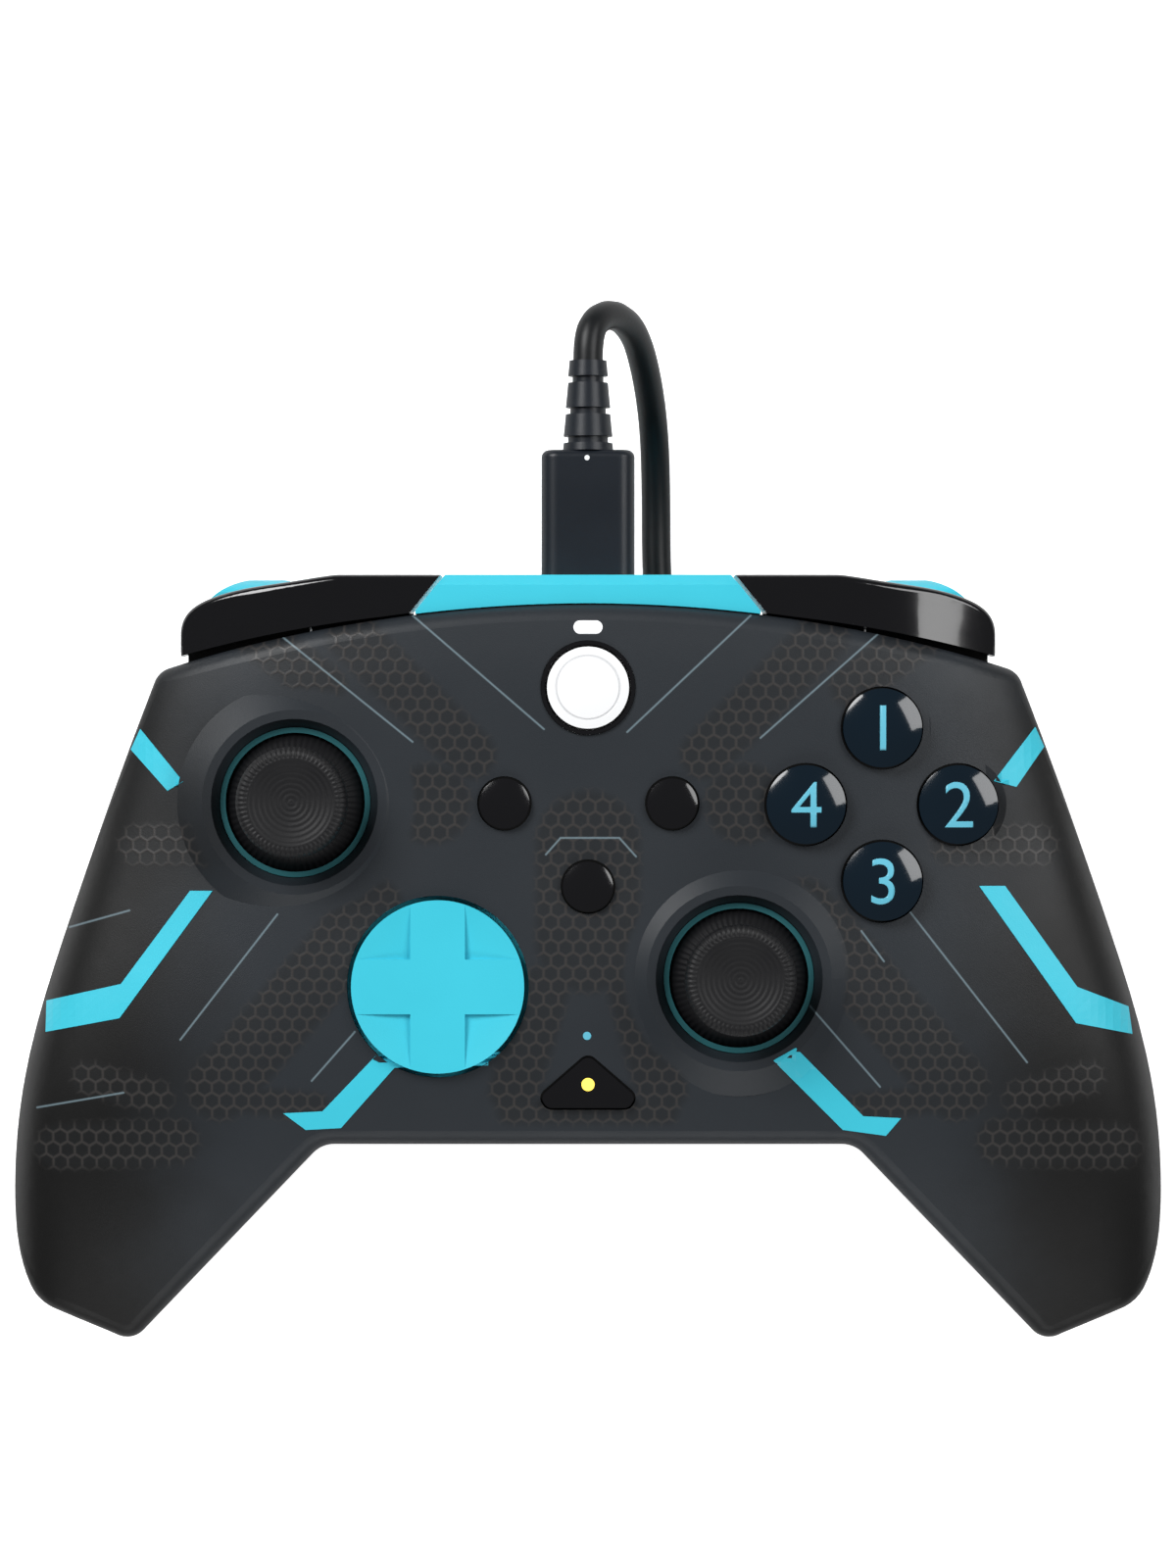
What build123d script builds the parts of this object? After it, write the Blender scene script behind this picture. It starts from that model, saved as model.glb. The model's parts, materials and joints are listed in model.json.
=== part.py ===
from build123d import *
from math import cos, hypot, pi, radians, sin, tan
import os

os.makedirs("parts", exist_ok=True)

# Overall sizes of the body, in millimetres
half_width = 77.0
half_depth = 51.0
face_z = 45.0
parting_z = 27.0
underside_z = 20.5
wall = 2.0
overrun = 5.0
edge_radius = 2.4
steep_share = 0.8
refit_spans = 8

# Plan outline of the body
front_edge_y = 47.1
shoulder_x = 57.2
shoulder_y = 38.3
heel_x = 73.6
heel_y = -46.2
tip_x = 61.2
tip_y = -51.58
hollow_x = 35.3
hollow_y = -24.4
shoulder_radius = 3.0
heel_radius = 6.0
tip_radius = 3.0
hollow_radius = 4.0
side_shares = [(0.792, 0.560), (0.910, 0.069), (0.980, -0.300), (1.0, -0.600), (0.987, -0.800)]

# Upper face: shares of half depth, half width and crown height at each cross section
crown_power = 3.2
crown_shares = [-0.97, -0.85, -0.6, -0.3, 0, 0.3, 0.6, 0.85, 0.97]
crown_section_shares = [
    (1.25, 0.69, 0.86),
    (0.92, 0.745, 0.985),
    (0.45, 0.845, 1.0),
    (0.0, 0.935, 1.0),
    (-0.35, 0.995, 0.94),
    (-0.65, 1.012, 0.72),
    (-1.0, 1.0, 0.36),
    (-1.2, 0.97, 0.15),
]
end_pull_share = 0.5

# Underside: shares of half depth, half width, ridge place and grip depth at each cross section
flat_half_width = 44.0
grip_section_shares = [
    (1.25, 0.69, 0.64, 0.34),
    (0.92, 0.745, 0.67, 0.36),
    (0.45, 0.845, 0.73, 0.70),
    (0.0, 0.935, 0.78, 1.015),
    (-0.35, 0.995, 0.81, 1.03),
    (-0.65, 1.012, 0.82, 1.01),
    (-1.0, 1.0, 0.82, 0.72),
    (-1.2, 0.97, 0.82, 0.45),
]
slope_shares = (0.5, 0.55)
flank_shares = (0.72, 0.30)

# Fits
slide_gap = 0.3
part_gap = 0.1
pin_fit = 0.05
press_fit = 0.02

# Main board and switches
board_thickness = 1.6
board_half_width = 53.0
board_front_y = 26.0
board_back_y = -20.0
board_tab_half_width = 18.0
board_tab_y = 44.0
board_post_radius = 2.0
board_post_places = [(-47.0, -10.0), (47.0, -10.0), (-47.0, 20.0), (47.0, 20.0), (-14.0, 41.0), (14.0, 41.0)]
switch_size = 4.5
switch_height = 1.4
switch_plunger_radius = 1.0
switch_plunger_height = 0.4

# Thumbsticks
left_stick_x = -38.7
left_stick_y = 20.9
right_stick_x = 19.9
right_stick_y = -2.3
stick_pivot_depth = 8.6
stick_well_radius = 10.0
collar_foot_radius = 15.6
collar_top_radius = 12.2
collar_height = 1.0
collar_dish_radius = 11.0
collar_dish_depth = 1.2
ring_inner_radius = 9.2
dome_radius = 11.1
dome_wall = 0.9
dome_angle = 74.0
neck_radius = 3.2
neck_top = 13.9
cap_radius = 7.3
cap_bottom = 15.1
cap_height = 2.9
cap_rim_radius = 5.6
cap_dish_depth = 0.7
cap_round = 1.1
cap_socket_top = 15.2
post_radius = 1.6
post_tip_radius = 1.25
post_bottom = -2.3
post_shoulder = 2.6
swivel_half_x = 2.3
swivel_half_y = 2.8
swivel_half_z = 1.4
swivel_pin_radius = 0.8
yoke_outer = 4.7
yoke_inner = 3.1
yoke_half_z = 1.5
yoke_pin_radius = 1.0
housing_half = 6.6
housing_wall = 1.1
housing_floor = 0.8
housing_rise = 2.2

# Direction pad
dpad_x = -19.8
dpad_y = -3.4
dpad_radius = 11.4
dpad_hole_radius = 12.0
dpad_rise = 0.9
dpad_depth = 4.0
dpad_flange_radius = 12.8
dpad_flange_height = 0.8
dpad_tilt = 3.5
dpad_dish_depth = 1.0
dpad_arm_width = 7.2
dpad_pocket_radius = 6.6
dpad_pocket_depth = 1.6
dpad_pivot_depth = 5.4
dpad_pin_radius = 1.0
dpad_ear_inner = 3.4
dpad_ear_outer = 4.8
dpad_ear_half = 1.5
dpad_plunger_radius = 1.2
dpad_plunger_reach = 8.6
dpad_membrane_radius = 11.0
dpad_contact_radius = 1.8
dpad_contact_height = 1.2
dpad_contact_gap = 0.8

# Round buttons
guide_boss_wall = 1.0
guide_boss_depth = 1.6
flange_overhang = 0.9
flange_height = 0.8
flange_gap = 0.2
face_button_x = 38.8
face_button_y = 20.6
face_button_reach = 10.1
face_button_radius = 5.2
face_button_rise = 1.5
face_button_crown = 0.9
face_button_travel = 1.2
stem_radius = 1.6
small_button_radius = 3.3
small_button_rise = 0.9
small_button_crown = 0.5
small_button_travel = 0.6
view_x = -11.0
menu_x = 11.1
view_menu_y = 20.75
share_y = 9.8
guide_y = 36.0
guide_radius = 5.4
guide_rise = 0.4
guide_crown = 0.5
guide_travel = 0.4
guide_ring_radius = 6.2
guide_ring_rise = 0.25
status_y = 44.0
status_length = 3.8
status_width = 1.7
status_rise = 0.1
status_depth = 2.6

# Function button: a rounded triangle with a light in it
function_top_y = -12.4
function_base_y = -19.4
function_half_width = 6.3
function_shoulder_y = -17.9
function_base_half_width = 5.4
function_round = 1.1
function_rise = 0.5
function_light_y = -16.3
function_light_radius = 0.85
function_light_depth = 1.6

# Rubber membranes
membrane_thickness = 0.8
membrane_half = 15.5
contact_radius = 2.4
contact_height = 1.4

# Bumpers and top bar
bar_top_half_width = 18.9
bar_foot_half_width = 22.8
bar_foot_y = 46.2
bar_bottom_z = 19.6
bar_top_z = 43.3
bar_bevel = 1.4
bar_end_gap = 0.45
bumper_end_x = 54.2
bumper_bottom_z = 32.5
bumper_inner_top_z = 43.0
bumper_middle_top_z = 41.3
bumper_outer_top_z = 37.6
bumper_round = 0.9
bumper_turn = 1.6
bumper_pin_x = 27.5
bumper_pin_y = 48.1
bumper_pin_radius = 1.0
bumper_pin_top_z = 40.5
ledge_thickness = 1.5
ledge_start_x = 23.4
ledge_front_y = 49.6
bumper_flat_end_x = 33.0
bumper_end_y = 40.0
bumper_middle_x = 45.0
bumper_end_run = 1.2
bumper_edge_shares = [(0.724, 0.983), (0.913, 0.945), (0.996, 0.878)]

# Triggers
trigger_inner_x = 37.3
trigger_outer_x = 53.6
trigger_hub_inner_x = 40.0
trigger_hub_outer_x = 51.0
trigger_pivot_y = 33.5
trigger_pivot_z = 28.0
trigger_hub_radius = 3.0
trigger_pin_radius = 1.5
trigger_top_z = 31.8
trigger_tip_z = 8.0
trigger_nose_y = 50.95
trigger_body_y = 38.6
well_gap = 0.3
trigger_lip_y = 43.5
trigger_shoulder_x = 50.5
trigger_shoulder_y = 48.3
trigger_crest_x = 44.5
trigger_inner_y = 49.3
trigger_round = 0.8
trigger_flat_y = 49.0
well_wall = 1.0
well_back_y = 30.0
well_top_z = 32.0
well_bottom_z = 10.0
trigger_face_shares = [(0.985, 0.85), (0.88, 0.50), (0.86, 0.25), (0.97, 0.03)]
trigger_rear_shares = [(0.70, 0.02), (0.50, 0.30), (0.36, 0.62)]
spring_wire = 0.5
spring_inner_x = 37.6
spring_radius = 2.2
spring_pitch = 1.0
spring_length = 2.0

# Rumble motors
motor_x = 61.5
motor_z = 16.5
motor_radius = 6.0
motor_front_y = -10.0
motor_back_y = -24.0
shaft_radius = 1.0
shaft_length = 8.5
weight_radius = 6.6
weight_thickness = 6.0
weight_gap = 2.0
weight_bore = 1.05
weight_hub_radius = 2.0
cradle_half_width = 4.5
cradle_inset = 2.0
cradle_bottom_z = 1.0

# Sockets
socket_width = 9.0
socket_height = 3.2
socket_wall = 0.3
socket_front_y = 50.4
socket_length = 7.4
jack_radius = 1.8
jack_barrel_radius = 3.0
jack_width = 9.0
jack_height = 6.4
jack_back_y = -10.5
jack_bore_length = 12.0
jack_front_gap = 2.1

# Shell screws
screw_places = [(0, 20.0), (-60.0, 12.0), (60.0, 12.0), (-63.5, -38.0), (63.5, -38.0)]
screw_post_radius = 3.4
screw_base_radius = 5.0
screw_head_radius = 2.4
screw_head_height = 1.6
screw_shank_radius = 1.2
screw_seat_depth = 3.0
screw_reach = 7.0
screw_slot_width = 0.8
screw_slot_depth = 0.7
board_hole_radius = 4.0

# Back buttons
back_button_x = 37.0
back_button_y = -13.0
back_button_width = 8.0
back_button_length = 15.0
back_button_round = 3.0
back_button_rise = 1.1
back_button_travel = 0.6
back_stem_radius = 1.5

# Cord: a flexible lead of 2.4 m
cord_diameter = 4.0
plug_width = 12.5
plug_thickness = 7.0
plug_front_y = 51.2
plug_length = 16.9
plug_round = 2.2
plug_end_round = 1.0
tongue_width = 8.2
tongue_thickness = 2.4
tongue_length = 6.6
relief_radius = 3.4
relief_groove_depth = 0.6
relief_tip_radius = 2.5
relief_length = 12.1
relief_groove_width = 0.9
relief_groove_shares = [0.12, 0.44, 0.79]
coil_x = -8.5
coil_y = 11.0
coil_mean_radius = 22.1
coil_pitch = 4.45
coil_layers = 4
coil_steps = 16
coil_bottom_z = 2.8
coil_start_angle = 30.0
coil_end_angle = 90.0
coil_layer_turns = 4
gap_skip = 12
lead_rise = 3.4
lead_points = [
    (1.3, 86.2, 28.3), (3.8, 87.0, 24.4), (6.4, 85.0, 19.0), (8.1, 79.6, 12.4), (9.2, 72.6, 5.6),
    (9.5, 63.2, 2.4), (9.5, 53.2, 2.0), (10.3, 43.0, 2.0),
]
lead_reach = 5.0
tail_reach = 5.5
tail_points = [(10.5, 42.2, 13.0), (19.5, 40.8, 8.2), (27.0, 36.6, 5.0), (31.8, 30.2, 3.9)]
tail_end_y = 15.5
tail_drop = 7.0
cord_arc_share = 0.45
reverse_rate = 1.5
tie_width = 6.0
tie_gap = 0.1
tie_inner_gap = 0.5
tie_round = 1.0
tie_thickness = 0.7
far_plug_x = 34.0
far_plug_width = 15.4
far_plug_thickness = 7.6
far_plug_length = 20.0
far_plug_round = 1.6
far_relief_length = 6.0
far_shell_width = 12.0
far_shell_thickness = 4.5
far_shell_length = 12.0
far_shell_wall = 0.4

board_bottom_z = parting_z
board_top_z = board_bottom_z + board_thickness
socket_z = board_top_z + socket_height / 2
stick_places = {"left": (left_stick_x, left_stick_y), "right": (right_stick_x, right_stick_y)}
sides = {"left": -1, "right": 1}
tall = face_z + overrun


def save(part, name):
    part.label = name
    export_step(part, "parts/" + name + ".step")


# Body outline and solids

def body_profile(inset):
    corners = [
        (shoulder_radius, shoulder_x, shoulder_y),
        (heel_radius, heel_x, heel_y),
        (tip_radius, tip_x, tip_y),
        (hollow_radius, hollow_x, hollow_y),
    ]
    with BuildSketch() as profile:
        with BuildLine():
            arc_x = shoulder_x / 2
            arc_y = front_edge_y - (front_edge_y - shoulder_y) / 4
            ThreePointArc((0, front_edge_y), (arc_x, arc_y), (shoulder_x, shoulder_y))
            side_points = [(half_width * x, half_depth * y) for x, y in side_shares]
            Spline((shoulder_x, shoulder_y), *side_points, (heel_x, heel_y))
            Polyline((heel_x, heel_y), (tip_x, tip_y), (hollow_x, hollow_y), (0, hollow_y))
            mirror(about=Plane.YZ)
        make_face()
        for radius, x, y in corners:
            near = [v for v in profile.vertices() if hypot(abs(v.X) - x, v.Y - y) < wall]
            fillet(near, radius)
        if inset:
            offset(amount=-inset, kind=Kind.INTERSECTION, mode=Mode.REPLACE)
    with BuildSketch() as drawn_again:
        with BuildLine():
            for edge in profile.edges():
                if edge.geom_type == GeomType.OFFSET:
                    on_edge = [edge @ (n / refit_spans) for n in range(refit_spans + 1)]
                    Spline(*on_edge, tangents=(edge % 0, edge % 1))
                else:
                    add(edge)
        make_face()
    return drawn_again.sketch


def crown_solid(inset):
    with BuildPart() as crown:
        for y_share, width_share, height_share in crown_section_shares:
            reach = half_width * width_share - inset
            rise = (face_z - parting_z) * height_share - inset
            with BuildSketch(Plane.XZ.offset(-half_depth * y_share)):
                with BuildLine():
                    points = []
                    for u in crown_shares:
                        lift = (1 - abs(u) ** crown_power) ** (1 / crown_power)
                        points.append((reach * u, parting_z + rise * lift))
                    Spline(
                        (-reach, parting_z), *points, (reach, parting_z),
                        tangents=((0, 1), (0, -1)), tangent_scalars=(end_pull_share, end_pull_share),
                    )
                    Polyline(
                        (reach, parting_z), (reach, parting_z - overrun),
                        (-reach, parting_z - overrun), (-reach, parting_z),
                    )
                make_face()
        loft()
    return crown.part


def grip_solid(inset):
    with BuildPart() as grips:
        for y_share, width_share, ridge_share, depth_share in grip_section_shares:
            reach = half_width * width_share - inset
            ridge_x = half_width * ridge_share
            ridge_z = parting_z * (1 - depth_share) + inset
            flat_x = flat_half_width + inset
            flat_z = underside_z + inset
            slope_x = flat_x + (ridge_x - flat_x) * slope_shares[0]
            slope_z = flat_z - (flat_z - ridge_z) * slope_shares[1]
            flank_x = ridge_x + (reach - ridge_x) * flank_shares[0]
            flank_z = ridge_z + (parting_z - ridge_z) * flank_shares[1]
            with BuildSketch(Plane.XZ.offset(-half_depth * y_share)):
                with BuildLine():
                    Polyline((0, flat_z), (flat_x, flat_z))
                    Spline(
                        (flat_x, flat_z), (slope_x, slope_z), (ridge_x, ridge_z),
                        (flank_x, flank_z), (reach, parting_z),
                        tangents=((1, 0), (0, 1)), tangent_scalars=(end_pull_share, end_pull_share),
                    )
                    Polyline((reach, parting_z), (reach, parting_z + overrun), (0, parting_z + overrun))
                    mirror(about=Plane.YZ)
                make_face()
        loft()
    return grips.part


def rim_edges(part, low, high):
    level = [e for e in part.edges() if abs(e.tangent_at(0.5).Z) < steep_share]
    on_rim = [e for e in level if low < e.center().Z < high]
    return [e for e in on_rim if abs(abs(e.center().X) - flat_half_width) > wall / 4]


with BuildPart() as outer_front:
    with BuildSketch(Plane.XY.offset(parting_z)):
        add(body_profile(0))
    extrude(amount=tall)
    add(crown_solid(0), mode=Mode.INTERSECT)
    fillet(rim_edges(outer_front, parting_z + wall / 2, tall), edge_radius)

with BuildPart() as outer_rear:
    with BuildSketch():
        add(body_profile(0))
    extrude(amount=parting_z)
    add(grip_solid(0), mode=Mode.INTERSECT)
    fillet(rim_edges(outer_rear, wall / 2, parting_z - wall / 2), edge_radius)

def face_height(x, y):
    hits = outer_front.part.find_intersection_points(Axis((x, y, 0), (0, 0, 1)))
    return max(point.Z for point, _ in hits)


def ring_at(x, y, radius, bore, low, high, mode=Mode.ADD):
    with BuildSketch(Plane.XY.offset(low)) as section:
        with Locations((x, y)):
            Circle(radius)
            if bore:
                Circle(bore, mode=Mode.SUBTRACT)
    extrude(section.sketch, amount=high - low, mode=mode)


def block(x_range, y_range, z_range, mode=Mode.ADD):
    with BuildSketch(Plane.XY.offset(z_range[0])) as section:
        with Locations(((x_range[0] + x_range[1]) / 2, (y_range[0] + y_range[1]) / 2)):
            Rectangle(x_range[1] - x_range[0], y_range[1] - y_range[0])
    extrude(section.sketch, amount=z_range[1] - z_range[0], mode=mode)


def add_outline(sketch, low, high, mode=Mode.ADD):
    with BuildSketch(Plane.XY.offset(low)) as section:
        add(sketch)
    extrude(section.sketch, amount=high - low, mode=mode)


# Solids inset from the outer form: the cavities, and the cores that trim what stands inside

def front_inset(inset):
    with BuildPart() as front:
        add_outline(body_profile(inset), parting_z, tall)
        add(crown_solid(inset), mode=Mode.INTERSECT)
    return front.part


def rear_inset(inset):
    with BuildPart() as rear:
        add_outline(body_profile(inset), 0, parting_z)
        add(grip_solid(inset), mode=Mode.INTERSECT)
    return rear.part


front_cavity = front_inset(wall)
rear_cavity = rear_inset(wall)
front_core = front_inset(wall / 2)
rear_core = rear_inset(wall / 2)
front_seat = front_inset(wall + part_gap)
rear_seat = rear_inset(wall + part_gap)

with BuildPart() as seat_core:
    add(front_seat)
    add(rear_seat)

# Heights of the face at each control

left_face_z = face_height(left_stick_x, left_stick_y)
right_face_z = face_height(right_stick_x, right_stick_y)
stick_face_z = {"left": left_face_z, "right": right_face_z}
dpad_face_z = face_height(dpad_x, dpad_y)
dpad_bottom_z = dpad_face_z - dpad_depth
dpad_flange_rise = dpad_flange_radius * sin(radians(dpad_tilt * 2 ** 0.5))
face_button_places = {
    "button_north": (face_button_x, face_button_y + face_button_reach),
    "button_east": (face_button_x + face_button_reach, face_button_y),
    "button_south": (face_button_x, face_button_y - face_button_reach),
    "button_west": (face_button_x - face_button_reach, face_button_y),
}
small_button_places = {
    "view_button": (view_x, view_menu_y),
    "menu_button": (menu_x, view_menu_y),
    "share_button": (0, share_y),
}
guide_face_z = face_height(0, guide_y)
status_face_z = face_height(0, status_y)
function_face_z = face_height(0, function_light_y)
round_holes = [(x, y, face_button_radius + slide_gap) for x, y in face_button_places.values()]
round_holes += [(x, y, small_button_radius + slide_gap) for x, y in small_button_places.values()]
round_holes += [(0, guide_y, guide_ring_radius + pin_fit)]


def function_outline(grow):
    corners = [
        (0, function_top_y), (function_half_width, function_shoulder_y),
        (function_base_half_width, function_base_y), (-function_base_half_width, function_base_y),
        (-function_half_width, function_shoulder_y),
    ]
    with BuildSketch() as outline:
        with BuildLine():
            Polyline(*corners, close=True)
        make_face()
        fillet(outline.vertices(), function_round)
        if grow:
            offset(amount=grow, kind=Kind.ARC, mode=Mode.REPLACE)
    return outline.sketch


# Bosses, collars and posts that stand in the front shell

def side_range(sign, inner, outer):
    return sorted((sign * inner, sign * outer))


def lathe(x, y, points, mode=Mode.ADD):
    with BuildSketch(Plane.XZ.offset(-y)) as section:
        with BuildLine():
            Polyline(*[(x + radius, z) for radius, z in points], close=True)
        make_face()
    revolve(section.sketch, axis=Axis((x, y, 0), (0, 0, 1)), mode=mode)


with BuildPart() as front_bosses:
    for x, y in screw_places:
        ring_at(x, y, screw_post_radius, 0, parting_z, face_z - wall)
    add(front_core, mode=Mode.INTERSECT)
    for side, (x, y) in stick_places.items():
        z = stick_face_z[side]
        lathe(x, y, [
            (0, z - wall), (collar_foot_radius, z - wall), (collar_foot_radius, z - collar_height),
            (collar_top_radius, z + collar_height), (0, z + collar_height),
        ])
    for x, y, radius in round_holes:
        z = face_height(x, y)
        ring_at(x, y, radius + guide_boss_wall, 0, z - wall - guide_boss_depth, z - wall / 2)
    add_outline(
        function_outline(slide_gap + guide_boss_wall),
        function_face_z - wall - guide_boss_depth, function_face_z - wall / 2,
    )
    for sign in sides.values():
        block(
            side_range(sign, ledge_start_x, trigger_inner_x - well_gap), (front_edge_y - 2 * wall, ledge_front_y),
            (bumper_bottom_z - slide_gap - ledge_thickness, bumper_bottom_z - slide_gap),
        )

with BuildPart() as front_openings:
    for side, (x, y) in stick_places.items():
        z = stick_face_z[side]
        lathe(x, y, [
            (0, parting_z), (stick_well_radius, parting_z), (stick_well_radius, z - collar_dish_depth),
            (collar_dish_radius, z + collar_height), (collar_dish_radius, tall), (0, tall),
        ])
    for x, y, radius in round_holes:
        ring_at(x, y, radius, 0, parting_z, tall)
    add_outline(function_outline(slide_gap), parting_z, tall)
    ring_at(dpad_x, dpad_y, dpad_hole_radius, 0, parting_z, tall)
    ring_at(
        dpad_x, dpad_y, dpad_flange_radius + 2 * slide_gap, 0,
        parting_z, dpad_bottom_z + dpad_flange_height + dpad_flange_rise + slide_gap,
    )
    with BuildSketch(Plane.XY.offset(parting_z)):
        with Locations((0, status_y)):
            SlotOverall(status_length + 2 * part_gap, status_width + 2 * part_gap)
    extrude(amount=tall)
    for sign in sides.values():
        block(
            side_range(sign, trigger_inner_x - well_gap, trigger_outer_x + well_gap),
            (well_back_y, half_depth + overrun), (parting_z - overrun, well_top_z + well_gap),
        )
        ring_at(
            sign * bumper_pin_x, bumper_pin_y, bumper_pin_radius + press_fit, 0, parting_z, bumper_bottom_z,
        )
    socket_reach = socket_width / 2 + slide_gap
    block(
        (-socket_reach, socket_reach), (front_edge_y - 2 * wall, half_depth + overrun),
        (socket_z - socket_height / 2 - slide_gap, socket_z + socket_height / 2 + slide_gap),
    )
    with BuildSketch(Plane.XZ.offset(-hollow_y)):
        with Locations((0, board_top_z + jack_height / 2)):
            Circle(jack_barrel_radius + part_gap)
    extrude(amount=wall + overrun, both=True)
    for x, y in screw_places:
        ring_at(x, y, screw_shank_radius + press_fit, 0, parting_z - overrun, parting_z + screw_reach)

with BuildPart() as front_shell:
    add(outer_front.part)
    add(front_cavity, mode=Mode.SUBTRACT)
    add(front_bosses.part)
    add(front_openings.part, mode=Mode.SUBTRACT)
save(front_shell.part, "front_shell")

# Posts and motor cradles that stand in the rear shell, and its openings
screw_seat_z = parting_z - screw_seat_depth

with BuildPart() as rear_bosses:
    for x, y in screw_places:
        ring_at(x, y, screw_base_radius, 0, 0, parting_z)
    for x, y in board_post_places:
        ring_at(x, y, board_post_radius, 0, 0, parting_z)
    for sign in sides.values():
        block(
            side_range(sign, motor_x - cradle_half_width, motor_x + cradle_half_width),
            (motor_back_y + cradle_inset, motor_front_y - cradle_inset), (cradle_bottom_z, motor_z),
        )
        with BuildSketch(Plane.XZ.offset(-motor_front_y)):
            with Locations((sign * motor_x, motor_z)):
                Circle(motor_radius + part_gap)
        extrude(amount=motor_front_y - motor_back_y, mode=Mode.SUBTRACT)
    add(rear_core, mode=Mode.INTERSECT)

with BuildPart() as rear_openings:
    for sign in sides.values():
        block(
            side_range(sign, trigger_inner_x - well_gap, trigger_outer_x + well_gap),
            (well_back_y, half_depth + overrun), (-overrun, parting_z + overrun),
        )
        with BuildSketch(Plane.XY.offset(-overrun)):
            with Locations((sign * back_button_x, back_button_y)):
                RectangleRounded(
                    back_button_width + 2 * slide_gap, back_button_length + 2 * slide_gap,
                    back_button_round + slide_gap,
                )
        extrude(amount=parting_z + overrun)
    for x, y in screw_places:
        ring_at(x, y, screw_head_radius + slide_gap, 0, -overrun, screw_seat_z)
        ring_at(x, y, screw_shank_radius + part_gap, 0, -overrun, parting_z + overrun)

with BuildPart() as rear_shell:
    add(outer_rear.part)
    add(rear_cavity, mode=Mode.SUBTRACT)
    add(rear_bosses.part)
    add(rear_openings.part, mode=Mode.SUBTRACT)
save(rear_shell.part, "rear_shell")

# Screws: pan heads with a cross slot, seen down their counterbores from below
with BuildPart() as shell_screws:
    for x, y in screw_places:
        ring_at(x, y, screw_head_radius, 0, screw_seat_z - screw_head_height, screw_seat_z)
        ring_at(x, y, screw_shank_radius, 0, screw_seat_z, parting_z + screw_reach - part_gap)
        slot = screw_head_radius - screw_slot_width / 2
        slot_z = (screw_seat_z - screw_head_height, screw_seat_z - screw_head_height + screw_slot_depth)
        block((x - slot, x + slot), (y - screw_slot_width / 2, y + screw_slot_width / 2), slot_z, Mode.SUBTRACT)
        block((x - screw_slot_width / 2, x + screw_slot_width / 2), (y - slot, y + slot), slot_z, Mode.SUBTRACT)
save(shell_screws.part, "shell_screws")

# Main board with its front tab, the screw holes and the switches that stand on it
with BuildPart() as main_board:
    block((-board_half_width, board_half_width), (board_back_y, board_front_y), (board_bottom_z, board_top_z))
    block((-board_tab_half_width, board_tab_half_width), (0, board_tab_y), (board_bottom_z, board_top_z))
    for x, y in screw_places:
        ring_at(x, y, board_hole_radius, 0, 0, tall, Mode.SUBTRACT)
save(main_board.part, "main_board")

jack_top_z = board_top_z + jack_height
switch_bases = [(x, y, board_top_z) for x, y in small_button_places.values()]
switch_bases += [(0, guide_y, board_top_z), (0, function_light_y, jack_top_z)]

with BuildPart() as tact_switches:
    for x, y, z in switch_bases:
        half = switch_size / 2
        block((x - half, x + half), (y - half, y + half), (z, z + switch_height))
        ring_at(x, y, switch_plunger_radius, 0, z + switch_height, z + switch_height + switch_plunger_height)
    for sign in sides.values():
        x = sign * back_button_x
        half = switch_size / 2
        z = board_bottom_z - switch_height
        block((x - half, x + half), (back_button_y - half, back_button_y + half), (z, board_bottom_z))
        ring_at(x, back_button_y, switch_plunger_radius, 0, z - switch_plunger_height, z)
save(tact_switches.part, "tact_switches")


# Thumbsticks

def arc_point(radius, angle):
    return (radius * sin(radians(angle)), radius * cos(radians(angle)))


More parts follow.
